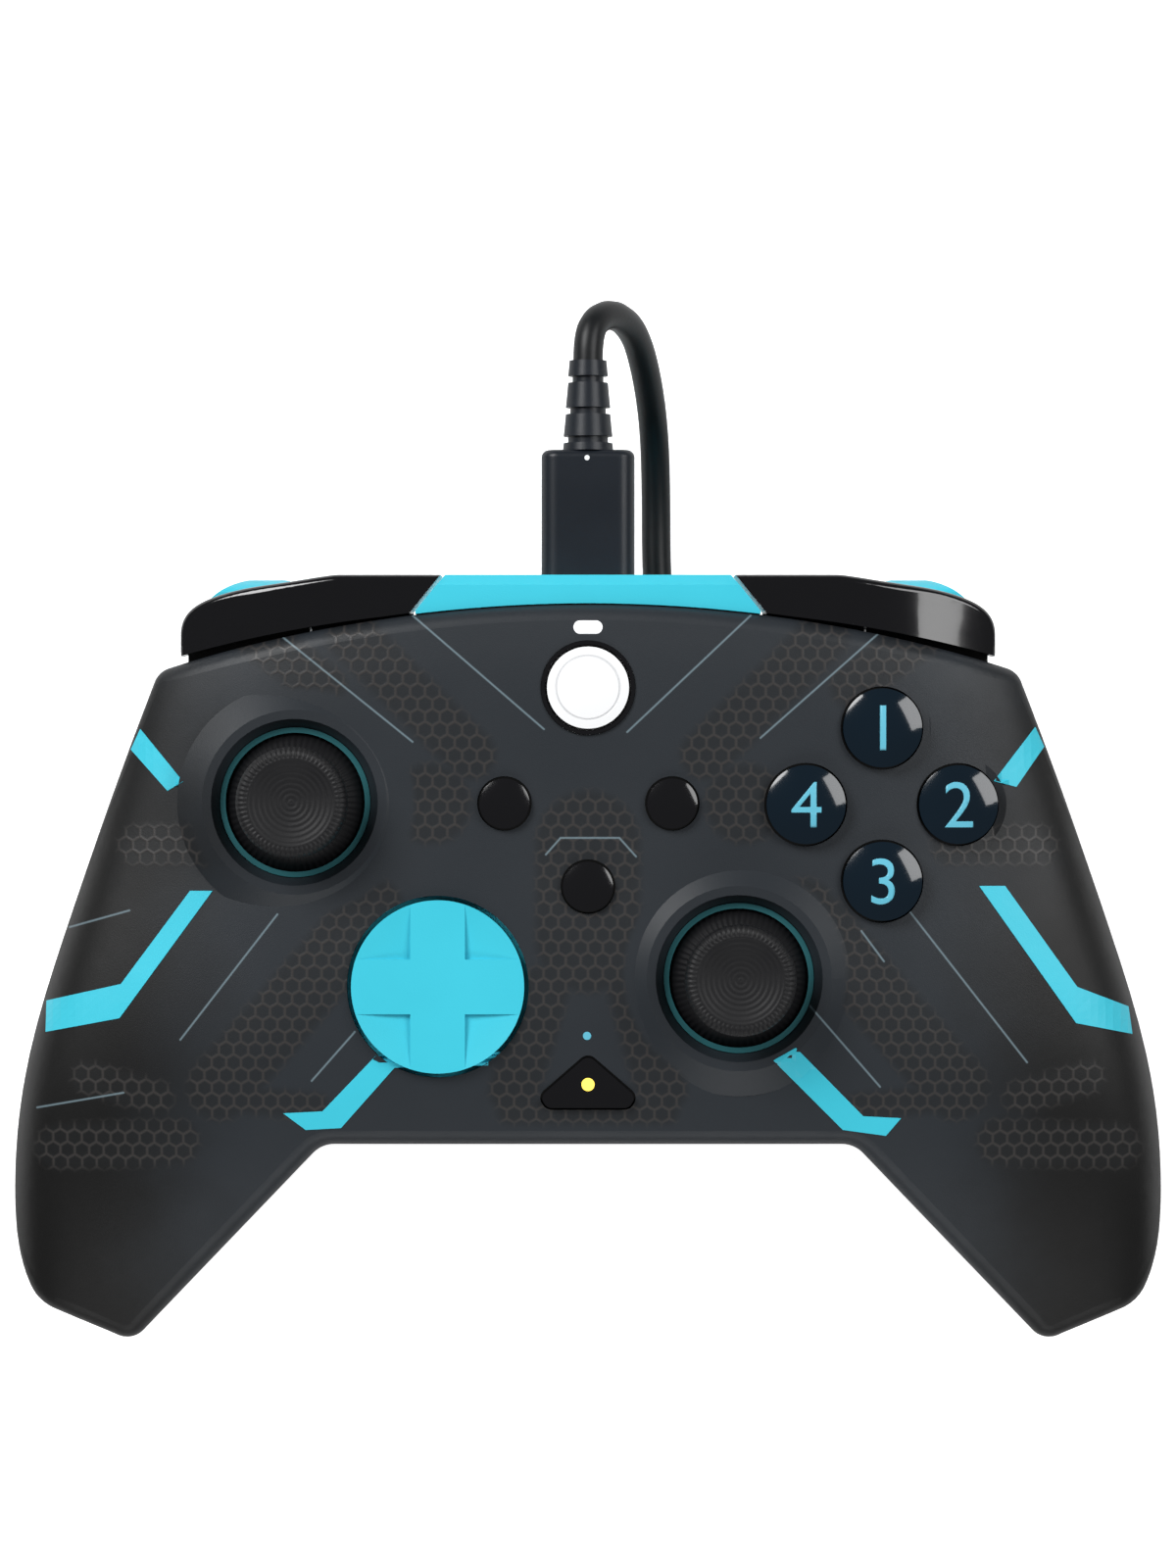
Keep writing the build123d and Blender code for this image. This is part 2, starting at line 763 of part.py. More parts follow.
for side, (x, y) in stick_places.items():
    face = stick_face_z[side]
    pivot = face - stick_pivot_depth
    axle = Axis((x, y, 0), (0, 0, 1))

    with BuildPart() as thumbstick:
        neck_angle = 180 / pi * (neck_radius / dome_radius)
        dome_inner = dome_radius - dome_wall
        cap_top = cap_bottom + cap_height
        socket = post_radius + press_fit
        socket_foot = (dome_inner ** 2 - socket ** 2) ** 0.5
        neck_foot = (dome_radius ** 2 - neck_radius ** 2) ** 0.5
        outer_mid = arc_point(dome_radius, (dome_angle + neck_angle) / 2)
        inner_mid = arc_point(dome_inner, dome_angle / 2)
        outer_rim = arc_point(dome_radius, dome_angle)
        inner_rim = arc_point(dome_inner, dome_angle)
        with BuildSketch(Plane.XZ.offset(-y)):
            with BuildLine():
                ThreePointArc(
                    (x, pivot + cap_top - cap_dish_depth),
                    (x + cap_rim_radius / 2, pivot + cap_top - cap_dish_depth * 3 / 4),
                    (x + cap_rim_radius, pivot + cap_top),
                )
                Polyline((x + cap_rim_radius, pivot + cap_top), (x + cap_radius - cap_round, pivot + cap_top))
                JernArc(
                    start=(x + cap_radius - cap_round, pivot + cap_top), tangent=(1, 0),
                    radius=cap_round, arc_size=-90,
                )
                Polyline(
                    (x + cap_radius, pivot + cap_top - cap_round), (x + cap_radius, pivot + cap_bottom),
                    (x + neck_radius, pivot + neck_top), (x + neck_radius, pivot + neck_foot),
                )
                ThreePointArc(
                    (x + neck_radius, pivot + neck_foot), (x + outer_mid[0], pivot + outer_mid[1]),
                    (x + outer_rim[0], pivot + outer_rim[1]),
                )
                Polyline(
                    (x + outer_rim[0], pivot + outer_rim[1]), (x + inner_rim[0], pivot + inner_rim[1]),
                )
                ThreePointArc(
                    (x + inner_rim[0], pivot + inner_rim[1]), (x + inner_mid[0], pivot + inner_mid[1]),
                    (x + socket, pivot + socket_foot),
                )
                Polyline(
                    (x + socket, pivot + socket_foot), (x + socket, pivot + cap_socket_top),
                    (x, pivot + cap_socket_top), (x, pivot + cap_top - cap_dish_depth),
                )
            make_face()
        revolve(axis=axle)
    save(thumbstick.part, side + "_thumbstick")

    with BuildPart() as post:
        ring_at(x, y, post_tip_radius, 0, pivot + post_bottom, pivot + post_shoulder)
        ring_at(x, y, post_radius, 0, pivot + post_shoulder, pivot + cap_socket_top - press_fit)
    save(post.part, side + "_stick_post")

    with BuildPart() as swivel:
        block(
            (x - swivel_half_x, x + swivel_half_x), (y - swivel_half_y, y + swivel_half_y),
            (pivot - swivel_half_z, pivot + swivel_half_z),
        )
        with BuildSketch(Plane.XZ.offset(-y)):
            with Locations((x, pivot)):
                Circle(swivel_pin_radius)
        extrude(amount=yoke_outer - slide_gap, both=True)
        ring_at(x, y, post_tip_radius + pin_fit, 0, pivot - yoke_outer, pivot + yoke_outer, Mode.SUBTRACT)
    save(swivel.part, side + "_stick_swivel")

    with BuildPart() as yoke:
        yoke_z = (pivot - yoke_half_z, pivot + yoke_half_z)
        block((x - yoke_outer, x + yoke_outer), (y - yoke_outer, y + yoke_outer), yoke_z)
        with BuildSketch(Plane.YZ.offset(x)):
            with Locations((y, pivot)):
                Circle(yoke_pin_radius)
        extrude(amount=housing_half - slide_gap, both=True)
        block((x - yoke_inner, x + yoke_inner), (y - yoke_inner, y + yoke_inner), yoke_z, Mode.SUBTRACT)
        with BuildSketch(Plane.XZ.offset(-y)):
            with Locations((x, pivot)):
                Circle(swivel_pin_radius + pin_fit)
        extrude(amount=yoke_outer + overrun, both=True, mode=Mode.SUBTRACT)
    save(yoke.part, side + "_stick_yoke")

    with BuildPart() as housing:
        inner = housing_half - housing_wall
        top = pivot + housing_rise
        block((x - housing_half, x + housing_half), (y - housing_half, y + housing_half), (board_top_z, top))
        block((x - inner, x + inner), (y - inner, y + inner), (board_top_z + housing_floor, top), Mode.SUBTRACT)
        with BuildSketch(Plane.YZ.offset(x)):
            with Locations((y, pivot)):
                Circle(yoke_pin_radius + pin_fit)
        extrude(amount=housing_half + overrun, both=True, mode=Mode.SUBTRACT)
    save(housing.part, side + "_stick_housing")

    with BuildPart() as stick_ring:
        ring_at(x, y, stick_well_radius - part_gap, ring_inner_radius, face - wall, face - collar_dish_depth)
    save(stick_ring.part, side + "_stick_ring")

# Direction pad: disc, cross pin, base and membrane
dpad_pivot_z = dpad_face_z - dpad_pivot_depth
dpad_axle = Axis((dpad_x, dpad_y, 0), (0, 0, 1))
dpad_contact_z = board_top_z + membrane_thickness + dpad_contact_height
dpad_compass = [(1, 0), (0, 1), (-1, 0), (0, -1)]

with BuildPart() as dpad_plus:
    half_arm = dpad_arm_width / 2
    arm_z = (dpad_bottom_z + dpad_pocket_depth, dpad_face_z + dpad_rise)
    block((dpad_x - dpad_radius, dpad_x + dpad_radius), (dpad_y - half_arm, dpad_y + half_arm), arm_z)
    block((dpad_x - half_arm, dpad_x + half_arm), (dpad_y - dpad_radius, dpad_y + dpad_radius), arm_z)
    ring_at(dpad_x, dpad_y, dpad_radius, 0, arm_z[0], arm_z[1], Mode.INTERSECT)

with BuildPart() as dpad_disc:
    dish_z = dpad_face_z + dpad_rise - dpad_dish_depth
    with BuildSketch(Plane.XZ.offset(-dpad_y)):
        with BuildLine():
            ThreePointArc(
                (dpad_x, dish_z), (dpad_x + dpad_radius / 2, dish_z + dpad_dish_depth / 4),
                (dpad_x + dpad_radius, dish_z + dpad_dish_depth),
            )
            Polyline(
                (dpad_x + dpad_radius, dish_z + dpad_dish_depth),
                (dpad_x + dpad_radius, dpad_bottom_z + dpad_flange_height),
                (dpad_x + dpad_flange_radius, dpad_bottom_z + dpad_flange_height),
                (dpad_x + dpad_flange_radius, dpad_bottom_z), (dpad_x + dpad_pocket_radius, dpad_bottom_z),
                (dpad_x + dpad_pocket_radius, dpad_bottom_z + dpad_pocket_depth),
                (dpad_x, dpad_bottom_z + dpad_pocket_depth), (dpad_x, dish_z),
            )
        make_face()
    revolve(axis=dpad_axle)
    add(dpad_plus.part)
    ear_bottom = dpad_pivot_z - dpad_ear_half
    for sign in sides.values():
        block(
            (dpad_x - dpad_ear_half, dpad_x + dpad_ear_half),
            sorted((dpad_y + sign * dpad_ear_inner, dpad_y + sign * dpad_ear_outer)),
            (ear_bottom, dpad_bottom_z + dpad_pocket_depth),
        )
    with BuildSketch(Plane.XZ.offset(-dpad_y)):
        with Locations((dpad_x, dpad_pivot_z)):
            Circle(dpad_pin_radius + pin_fit)
    extrude(amount=dpad_ear_outer + part_gap, both=True, mode=Mode.SUBTRACT)
    for across, along in dpad_compass:
        ring_at(
            dpad_x + across * dpad_plunger_reach, dpad_y + along * dpad_plunger_reach, dpad_plunger_radius, 0,
            dpad_contact_z + dpad_contact_gap, dpad_bottom_z,
        )
save(dpad_disc.part, "dpad_disc")

with BuildPart() as dpad_pivot:
    with BuildSketch(Plane.XZ.offset(-dpad_y)):
        with Locations((dpad_x, dpad_pivot_z)):
            Circle(dpad_pin_radius)
    extrude(amount=dpad_ear_outer, both=True)
    with BuildSketch(Plane.YZ.offset(dpad_x)):
        with Locations((dpad_y, dpad_pivot_z)):
            Circle(dpad_pin_radius)
    extrude(amount=dpad_ear_outer, both=True)
save(dpad_pivot.part, "dpad_pivot")

with BuildPart() as dpad_base:
    base_z = board_top_z + membrane_thickness
    ear_top = dpad_pivot_z + dpad_ear_half
    block(
        (dpad_x - dpad_ear_outer, dpad_x + dpad_ear_outer), (dpad_y - dpad_ear_half, dpad_y + dpad_ear_half),
        (base_z, ear_top),
    )
    block(
        (dpad_x - dpad_ear_inner, dpad_x + dpad_ear_inner), (dpad_y - dpad_ear_half, dpad_y + dpad_ear_half),
        (base_z + membrane_thickness, ear_top), Mode.SUBTRACT,
    )
    with BuildSketch(Plane.YZ.offset(dpad_x)):
        with Locations((dpad_y, dpad_pivot_z)):
            Circle(dpad_pin_radius + pin_fit)
    extrude(amount=dpad_ear_outer + overrun, both=True, mode=Mode.SUBTRACT)
save(dpad_base.part, "dpad_base")

with BuildPart() as dpad_membrane:
    ring_at(dpad_x, dpad_y, dpad_membrane_radius, 0, board_top_z, board_top_z + membrane_thickness)
    for across, along in dpad_compass:
        ring_at(
            dpad_x + across * dpad_plunger_reach, dpad_y + along * dpad_plunger_reach, dpad_contact_radius, 0,
            board_top_z + membrane_thickness, dpad_contact_z,
        )
save(dpad_membrane.part, "dpad_membrane")


# Round buttons: a crowned head, a flange under the shell and a stem down to the switch

def button_solid(x, y, radius, rise, crown, flange_radius, stem_bottom):
    face = face_height(x, y)
    flange_top = face - wall - guide_boss_depth - flange_gap
    with BuildPart() as button:
        with BuildSketch(Plane.XZ.offset(-y)):
            with BuildLine():
                ThreePointArc(
                    (x, face + rise + crown), (x + radius / 2, face + rise + crown * 3 / 4),
                    (x + radius, face + rise),
                )
                Polyline(
                    (x + radius, face + rise), (x + radius, flange_top), (x + flange_radius, flange_top),
                    (x + flange_radius, flange_top - flange_height), (x + stem_radius, flange_top - flange_height),
                    (x + stem_radius, stem_bottom), (x, stem_bottom), (x, face + rise + crown),
                )
            make_face()
        revolve(axis=Axis((x, y, 0), (0, 0, 1)))
    return button.part


contact_top_z = board_top_z + membrane_thickness + contact_height
switch_top_z = board_top_z + switch_height + switch_plunger_height

north_lift = well_top_z + well_gap + well_wall - board_top_z

for name, (x, y) in face_button_places.items():
    lift = north_lift if y > well_back_y else 0
    button = button_solid(
        x, y, face_button_radius, face_button_rise, face_button_crown,
        face_button_radius + flange_overhang, contact_top_z + lift + face_button_travel + part_gap,
    )
    save(button, name)

for name, (x, y) in small_button_places.items():
    button = button_solid(
        x, y, small_button_radius, small_button_rise, small_button_crown,
        small_button_radius + flange_overhang, switch_top_z + small_button_travel + part_gap,
    )
    save(button, name)

guide_button = button_solid(
    0, guide_y, guide_radius, guide_rise, guide_crown,
    guide_radius + flange_overhang, switch_top_z + guide_travel + part_gap,
)
save(guide_button, "guide_button")

with BuildPart() as guide_ring:
    ring_at(
        0, guide_y, guide_ring_radius, guide_radius + slide_gap,
        guide_face_z - wall, guide_face_z + guide_ring_rise,
    )
save(guide_ring.part, "guide_ring")

with BuildPart() as status_light:
    with BuildSketch(Plane.XY.offset(status_face_z - status_depth)):
        with Locations((0, status_y)):
            SlotOverall(status_length, status_width)
    extrude(amount=status_depth + status_rise)
save(status_light.part, "status_light")

with BuildPart() as function_button:
    function_flange_z = function_face_z - wall - guide_boss_depth - flange_gap
    add_outline(function_outline(0), function_flange_z, function_face_z + function_rise)
    add_outline(function_outline(flange_overhang), function_flange_z - flange_height, function_flange_z)
    ring_at(
        0, function_light_y, stem_radius, 0,
        jack_top_z + switch_height + switch_plunger_height + small_button_travel + part_gap,
        function_flange_z - flange_height,
    )
    ring_at(
        0, function_light_y, function_light_radius + press_fit, 0,
        function_face_z + function_rise - function_light_depth, tall, Mode.SUBTRACT,
    )
save(function_button.part, "function_button")

with BuildPart() as function_light:
    ring_at(
        0, function_light_y, function_light_radius, 0,
        function_face_z + function_rise - function_light_depth, function_face_z + function_rise + part_gap,
    )
save(function_light.part, "function_light")

# Membrane on the board, and its fourth contact on the trigger housing that stands in the way
with BuildPart() as face_membrane:
    block(
        (face_button_x - membrane_half, min(face_button_x + membrane_half, board_half_width)),
        (face_button_y - membrane_half, board_front_y), (board_top_z, board_top_z + membrane_thickness),
    )
    for x, y in face_button_places.values():
        lift = north_lift if y > well_back_y else 0
        ring_at(x, y, contact_radius, 0, board_top_z + lift, contact_top_z + lift)
save(face_membrane.part, "face_membrane")

# Back buttons, pressed towards the board
for side, sign in sides.items():
    x = sign * back_button_x
    with BuildPart() as back_button:
        flange_z = underside_z + wall + flange_gap
        with BuildSketch(Plane.XY.offset(underside_z - back_button_rise)):
            with Locations((x, back_button_y)):
                RectangleRounded(back_button_width, back_button_length, back_button_round)
        extrude(amount=flange_z - underside_z + back_button_rise)
        with BuildSketch(Plane.XY.offset(flange_z)):
            with Locations((x, back_button_y)):
                RectangleRounded(
                    back_button_width + 2 * flange_overhang, back_button_length + 2 * flange_overhang,
                    back_button_round + flange_overhang,
                )
        extrude(amount=flange_height)
        fillet(back_button.edges().group_by(Axis.Z)[0], back_button_rise / 2)
        ring_at(
            x, back_button_y, back_stem_radius, 0, flange_z + flange_height,
            board_bottom_z - switch_height - switch_plunger_height - back_button_travel - part_gap,
        )
    save(back_button.part, side + "_back_button")

# Top bar round the cable socket, with slanted ends and a bevel along its upper front edge
with BuildPart() as top_bar:
    with BuildSketch(Plane.XY.offset(bar_bottom_z)):
        with BuildLine():
            Polyline(
                (-bar_top_half_width, half_depth), (bar_top_half_width, half_depth),
                (bar_foot_half_width, bar_foot_y), (bar_foot_half_width, bar_foot_y - 2 * wall),
                (-bar_foot_half_width, bar_foot_y - 2 * wall), (-bar_foot_half_width, bar_foot_y), close=True,
            )
        make_face()
        add(body_profile(-part_gap), mode=Mode.SUBTRACT)
    extrude(amount=bar_top_z - bar_bottom_z)
    chamfer(top_bar.edges().group_by(Axis.Z)[-1].sort_by(Axis.Y)[-1], bar_bevel)
    block(
        (-socket_reach, socket_reach), (front_edge_y - 2 * wall, half_depth + overrun),
        (socket_z - socket_height / 2 - slide_gap, socket_z + socket_height / 2 + slide_gap), Mode.SUBTRACT,
    )
save(top_bar.part, "top_bar")

# Bumpers, hinged on upright pins near the bar
end_slant = (bar_foot_half_width - bar_top_half_width) / (half_depth - bar_foot_y)
end_shift = bar_end_gap * hypot(1, end_slant)
bumper_back_y = shoulder_y - overrun

for side, sign in sides.items():
    with BuildPart() as bumper:
        with BuildSketch(Plane.XY.offset(bumper_bottom_z)):
            with BuildLine():
                start = (sign * (bar_top_half_width + end_shift), half_depth)
                inner_x = bar_top_half_width + end_shift + end_slant * (half_depth - bumper_back_y)
                edge = [(sign * bumper_end_x * x, half_depth * y) for x, y in bumper_edge_shares]
                flat_end = (sign * bumper_flat_end_x, half_depth)
                Polyline(start, flat_end)
                Spline(
                    flat_end, *edge, (sign * bumper_end_x, bumper_end_y),
                    tangents=((sign, 0), (0, -1)), tangent_scalars=(end_pull_share, end_pull_share),
                )
                Polyline(
                    (sign * bumper_end_x, bumper_end_y), (sign * bumper_end_x, bumper_back_y),
                    (sign * inner_x, bumper_back_y), start,
                )
            make_face()
            add(body_profile(-slide_gap), mode=Mode.SUBTRACT)
            turned = body_profile(-slide_gap).rotate(
                Axis((sign * bumper_pin_x, bumper_pin_y, 0), (0, 0, 1)), sign * bumper_turn,
            )
            add(turned, mode=Mode.SUBTRACT)
        extrude(amount=tall - bumper_bottom_z)
        with BuildSketch(Plane.XZ.offset(-half_depth - overrun)):
            with BuildLine():
                Polyline(
                    (sign * bumper_end_x, bumper_outer_top_z), (sign * bumper_end_x, bumper_bottom_z),
                    (0, bumper_bottom_z), (0, bumper_inner_top_z),
                    (sign * bar_top_half_width, bumper_inner_top_z),
                )
                Spline(
                    (sign * bar_top_half_width, bumper_inner_top_z),
                    (sign * bumper_middle_x, bumper_middle_top_z), (sign * bumper_end_x, bumper_outer_top_z),
                    tangents=((sign, 0), (sign * bumper_end_run, -1)),
                    tangent_scalars=(end_pull_share, end_pull_share),
                )
            make_face()
        extrude(amount=half_depth, mode=Mode.INTERSECT)
        fillet(bumper.faces().sort_by(Axis.Z)[-1].edges().sort_by(Axis.Y)[-1], bumper_round)
        ring_at(
            sign * bumper_pin_x, bumper_pin_y, bumper_pin_radius + pin_fit, 0,
            0, bumper_pin_top_z + slide_gap, Mode.SUBTRACT,
        )
    save(bumper.part, side + "_bumper")

with BuildPart() as bumper_pins:
    for sign in sides.values():
        ring_at(
            sign * bumper_pin_x, bumper_pin_y, bumper_pin_radius, 0,
            bumper_bottom_z - slide_gap - ledge_thickness, bumper_pin_top_z,
        )
save(bumper_pins.part, "bumper_pins")

# Triggers: a curved lever with a hub on a cross pin

def lever_point(shares):
    along, up = shares
    return (
        trigger_pivot_y + (trigger_nose_y - trigger_pivot_y) * along,
        trigger_tip_z + (trigger_top_z - trigger_tip_z) * up,
    )


for side, sign in sides.items():
    with BuildPart() as trigger:
        with BuildSketch(Plane.YZ):
            with BuildLine():
                face_points = [lever_point(shares) for shares in trigger_face_shares]
                rear_points = [lever_point(shares) for shares in trigger_rear_shares]
                back = (trigger_pivot_y, trigger_top_z)
                foot = (trigger_pivot_y, trigger_pivot_z - trigger_hub_radius)
                Polyline(back, (trigger_flat_y, trigger_top_z))
                Spline(
                    (trigger_flat_y, trigger_top_z), *face_points,
                    tangents=((1, 0), (half_depth - trigger_flat_y, trigger_tip_z - trigger_top_z / 2)),
                    tangent_scalars=(end_pull_share, end_pull_share),
                )
                Polyline(face_points[-1], rear_points[0])
                Spline(rear_points[0], *rear_points[1:], foot)
                Polyline(foot, back)
            make_face()
        extrude(amount=sign * trigger_outer_x)
        with BuildSketch(Plane.XY):
            with BuildLine():
                inner = sign * trigger_inner_x
                outer = sign * trigger_outer_x
                shoulder = (sign * trigger_shoulder_x, trigger_shoulder_y)
                ThreePointArc((inner, trigger_inner_y), (sign * trigger_crest_x, half_depth), shoulder)
                Polyline(
                    shoulder, (outer, trigger_lip_y), (outer, trigger_body_y),
                    (sign * trigger_hub_outer_x, trigger_body_y), (sign * trigger_hub_outer_x, well_back_y),
                    (sign * trigger_hub_inner_x, well_back_y), (sign * trigger_hub_inner_x, trigger_body_y),
                    (inner, trigger_body_y), (inner, trigger_inner_y),
                )
            make_face()
        extrude(amount=tall, mode=Mode.INTERSECT)
        with BuildSketch(Plane.YZ.offset(sign * trigger_hub_inner_x)):
            with Locations((trigger_pivot_y, trigger_pivot_z)):
                Circle(trigger_hub_radius)
        extrude(amount=sign * (trigger_hub_outer_x - trigger_hub_inner_x))
        with BuildSketch(Plane.YZ):
            with Locations((trigger_pivot_y, trigger_pivot_z)):
                Circle(trigger_pin_radius + pin_fit)
        extrude(amount=sign * half_width, mode=Mode.SUBTRACT)
        low_front = [
            e for e in trigger.edges()
            if e.center().Y > trigger_lip_y and e.center().Z < trigger_top_z - wall / 4
        ]
        inner_side = [e for e in low_front if abs(abs(e.center().X) - trigger_inner_x) < part_gap]
        tip_side = [e for e in low_front if e.center().Z < trigger_tip_z + wall / 2]
        fillet(list(dict.fromkeys(inner_side + tip_side)), trigger_round)
    save(trigger.part, side + "_trigger")

for side, sign in sides.items():
    with BuildPart() as trigger_housing:
        inner = trigger_inner_x - well_gap
        outer = trigger_outer_x + well_gap
        lid_z = well_top_z + well_gap
        block(
            side_range(sign, inner - well_wall, outer + well_wall),
            (well_back_y - well_wall, half_depth), (well_bottom_z, lid_z + well_wall),
        )
        block(side_range(sign, inner, outer), (well_back_y, half_depth), (0, lid_z), Mode.SUBTRACT)
        with BuildSketch(Plane.YZ):
            with Locations((trigger_pivot_y, trigger_pivot_z)):
                Circle(trigger_pin_radius + press_fit)
        extrude(amount=sign * half_width, mode=Mode.SUBTRACT)
        add(seat_core.part, mode=Mode.INTERSECT)
    save(trigger_housing.part, side + "_trigger_housing")

with BuildPart() as trigger_pins:
    for sign in sides.values():
        with BuildSketch(Plane.YZ.offset(sign * (trigger_inner_x - well_gap - well_wall))):
            with Locations((trigger_pivot_y, trigger_pivot_z)):
                Circle(trigger_pin_radius)
        extrude(amount=sign * (trigger_outer_x - trigger_inner_x + 2 * well_gap + 2 * well_wall))
save(trigger_pins.part, "trigger_pins")

with BuildPart() as trigger_springs:
    for sign in sides.values():
        start = (sign * spring_inner_x, trigger_pivot_y, trigger_pivot_z)
        with BuildLine() as coil_line:
            Helix(spring_pitch, spring_length, spring_radius, center=start, direction=(sign, 0, 0))
        with BuildSketch(Plane(coil_line.line @ 0, z_dir=coil_line.line % 0)) as wire:
            Circle(spring_wire / 2)
        sweep(wire.sketch, path=coil_line.line, is_frenet=True)
save(trigger_springs.part, "trigger_springs")

# Rumble motors and their eccentric weights
for side, sign in sides.items():
    with BuildPart() as motor:
        with BuildSketch(Plane.XZ.offset(-motor_front_y)):
            with Locations((sign * motor_x, motor_z)):
                Circle(motor_radius)
        extrude(amount=motor_front_y - motor_back_y)
        with BuildSketch(Plane.XZ.offset(-motor_back_y)):
            with Locations((sign * motor_x, motor_z)):
                Circle(shaft_radius)
        extrude(amount=shaft_length)
    save(motor.part, side + "_rumble_motor")

    with BuildPart() as weight:
        with BuildSketch(Plane.XZ.offset(-motor_back_y + weight_gap)):
            with Locations((sign * motor_x, motor_z)):
                Circle(weight_radius)
            with Locations((sign * motor_x, motor_z + weight_radius / 2)):
                Rectangle(2 * weight_radius, weight_radius, mode=Mode.SUBTRACT)
            with Locations((sign * motor_x, motor_z)):
                Circle(weight_hub_radius)
                Circle(weight_bore, mode=Mode.SUBTRACT)
        extrude(amount=weight_thickness)
    save(weight.part, side + "_rumble_weight")

# Sockets that stand on the board
with BuildPart() as usb_socket:
    with BuildSketch(Plane.XZ.offset(-socket_front_y)):
        with Locations((0, socket_z)):
            SlotOverall(socket_width, socket_height)
            SlotOverall(socket_width - 2 * socket_wall, socket_height - 2 * socket_wall, mode=Mode.SUBTRACT)
    extrude(amount=socket_length)
save(usb_socket.part, "usb_socket")

jack_z = board_top_z + jack_height / 2

with BuildPart() as audio_jack:
    jack_front_y = hollow_y + jack_front_gap
    block((-jack_width / 2, jack_width / 2), (jack_front_y, jack_back_y), (board_top_z, jack_top_z))
    with BuildSketch(Plane.XZ.offset(-jack_front_y)):
        with Locations((0, jack_z)):
            Circle(jack_barrel_radius)
    extrude(amount=jack_front_y - hollow_y)
    with BuildSketch(Plane.XZ.offset(-hollow_y)):
        with Locations((0, jack_z)):
            Circle(jack_radius)
    extrude(amount=-jack_bore_length, mode=Mode.SUBTRACT)
save(audio_jack.part, "audio_jack")

# Plug of the lead, with its metal tongue, and the ribbed strain relief
with BuildPart() as usb_plug:
    with BuildSketch(Plane.XZ.offset(-plug_front_y - plug_length)):
        with Locations((0, socket_z)):
            RectangleRounded(plug_width, plug_thickness, plug_round)
    extrude(amount=plug_length)
    fillet(usb_plug.edges().group_by(Axis.Y)[-1], plug_end_round)
    with BuildSketch(Plane.XZ.offset(-plug_front_y)):
        with Locations((0, socket_z)):
            SlotOverall(tongue_width, tongue_thickness)
    extrude(amount=tongue_length)
save(usb_plug.part, "usb_plug")

plug_end_y = plug_front_y + plug_length

with BuildPart() as strain_relief:
    with BuildSketch(Plane.XY.offset(socket_z)):
        with BuildLine():
            relief_end_y = plug_end_y + relief_length
            outline = [(0, plug_end_y), (relief_radius, plug_end_y)]
            for share in relief_groove_shares:
                groove_y = plug_end_y + relief_length * share
                edge = relief_radius - (relief_radius - relief_tip_radius) * share
                low_y = groove_y - relief_groove_width / 2
                high_y = groove_y + relief_groove_width / 2
                floor = edge - relief_groove_depth
                outline += [(edge, low_y), (floor, low_y), (floor, high_y), (edge, high_y)]
            outline += [(relief_tip_radius, relief_end_y), (0, relief_end_y)]
            Polyline(*outline, close=True)
        make_face()
    revolve(axis=Axis((0, 0, socket_z), (0, 1, 0)))
save(strain_relief.part, "strain_relief")


# Cord: tubes of straight runs and tangent arcs

def run_between(start, end):
    return (Vector(*end) - Vector(*start)).length


def bend_radii(points):
    radii = []
    for before, here, after in zip(points, points[1:], points[2:]):
        run = min(run_between(before, here), run_between(here, after))
        turn = (Vector(*here) - Vector(*before)).get_angle(Vector(*after) - Vector(*here))
        radii.append(cord_arc_share * run / tan(radians(turn / 2)))
    return radii


def cord_tube(points, name):
    radii = bend_radii(points)
    with BuildPart() as tube:
        with BuildLine() as path:
            FilletPolyline(*points, radius=radii)
        wire = path.wires()[0]
        with BuildSketch(Plane(points[0], z_dir=wire % 0)) as section:
            Circle(cord_diameter / 2)
        sweep(section.sketch, path=wire)
    length = wire.length
    share = tube.part.volume / (length * pi * cord_diameter ** 2 / 4)
    print(name, "length", round(length, 1), "volume share", round(share, 4))
    print(name, "bend radii", [round(radius, 1) for radius in radii])
    save(tube.part, name)
    return length


# Coil: one unbroken tube that spirals in and out again in layers
coil_turns = coil_layers * coil_layer_turns - (coil_end_angle - coil_start_angle) / 360
coil_nodes = coil_layers * coil_steps
step_turn = coil_turns / coil_nodes
coil_reach = coil_pitch * coil_turns / coil_layers / 2
coil_outer = coil_mean_radius + coil_reach
coil_inner = coil_mean_radius - coil_reach


def coil_node(index):
    layer = min(index // coil_steps, coil_layers - 1)
    along = (index - layer * coil_steps) * step_turn
    inward = layer % 2 == 0
    radius = coil_outer - coil_pitch * along if inward else coil_inner + coil_pitch * along
    at_end = index in (0, coil_nodes)
    at_turn = index % coil_steps == 0 and not at_end
    radius_rate = 0 if at_end or at_turn else (-coil_pitch if inward else coil_pitch)
    height_rate = reverse_rate * coil_pitch / (2 * step_turn) if at_turn else 0
    level = layer - 1 / 2 if at_turn else layer
    angle = radians(coil_start_angle - 360 * index * step_turn)
    sweep_rate = 2 * pi * radius
    place = Vector(
        coil_x + radius * cos(angle), coil_y + radius * sin(angle), coil_bottom_z + level * coil_pitch,
    )
    heading = Vector(
        radius_rate * cos(angle) + sweep_rate * sin(angle),
        radius_rate * sin(angle) - sweep_rate * cos(angle), height_rate,
    )
    return place, heading.normalized()


def biarc_joint(start, start_heading, end, end_heading):
    chord = end - start
    both = start_heading + end_heading
    spread = 2 * (1 - start_heading.dot(end_heading))
    along = chord.dot(both)
    reach = ((along ** 2 + spread * chord.dot(chord)) ** 0.5 - along) / spread
    joint = (start + end + (start_heading - end_heading) * reach) / 2
    heading = (end - end_heading * reach) - (start + start_heading * reach)
    return joint, heading.normalized()


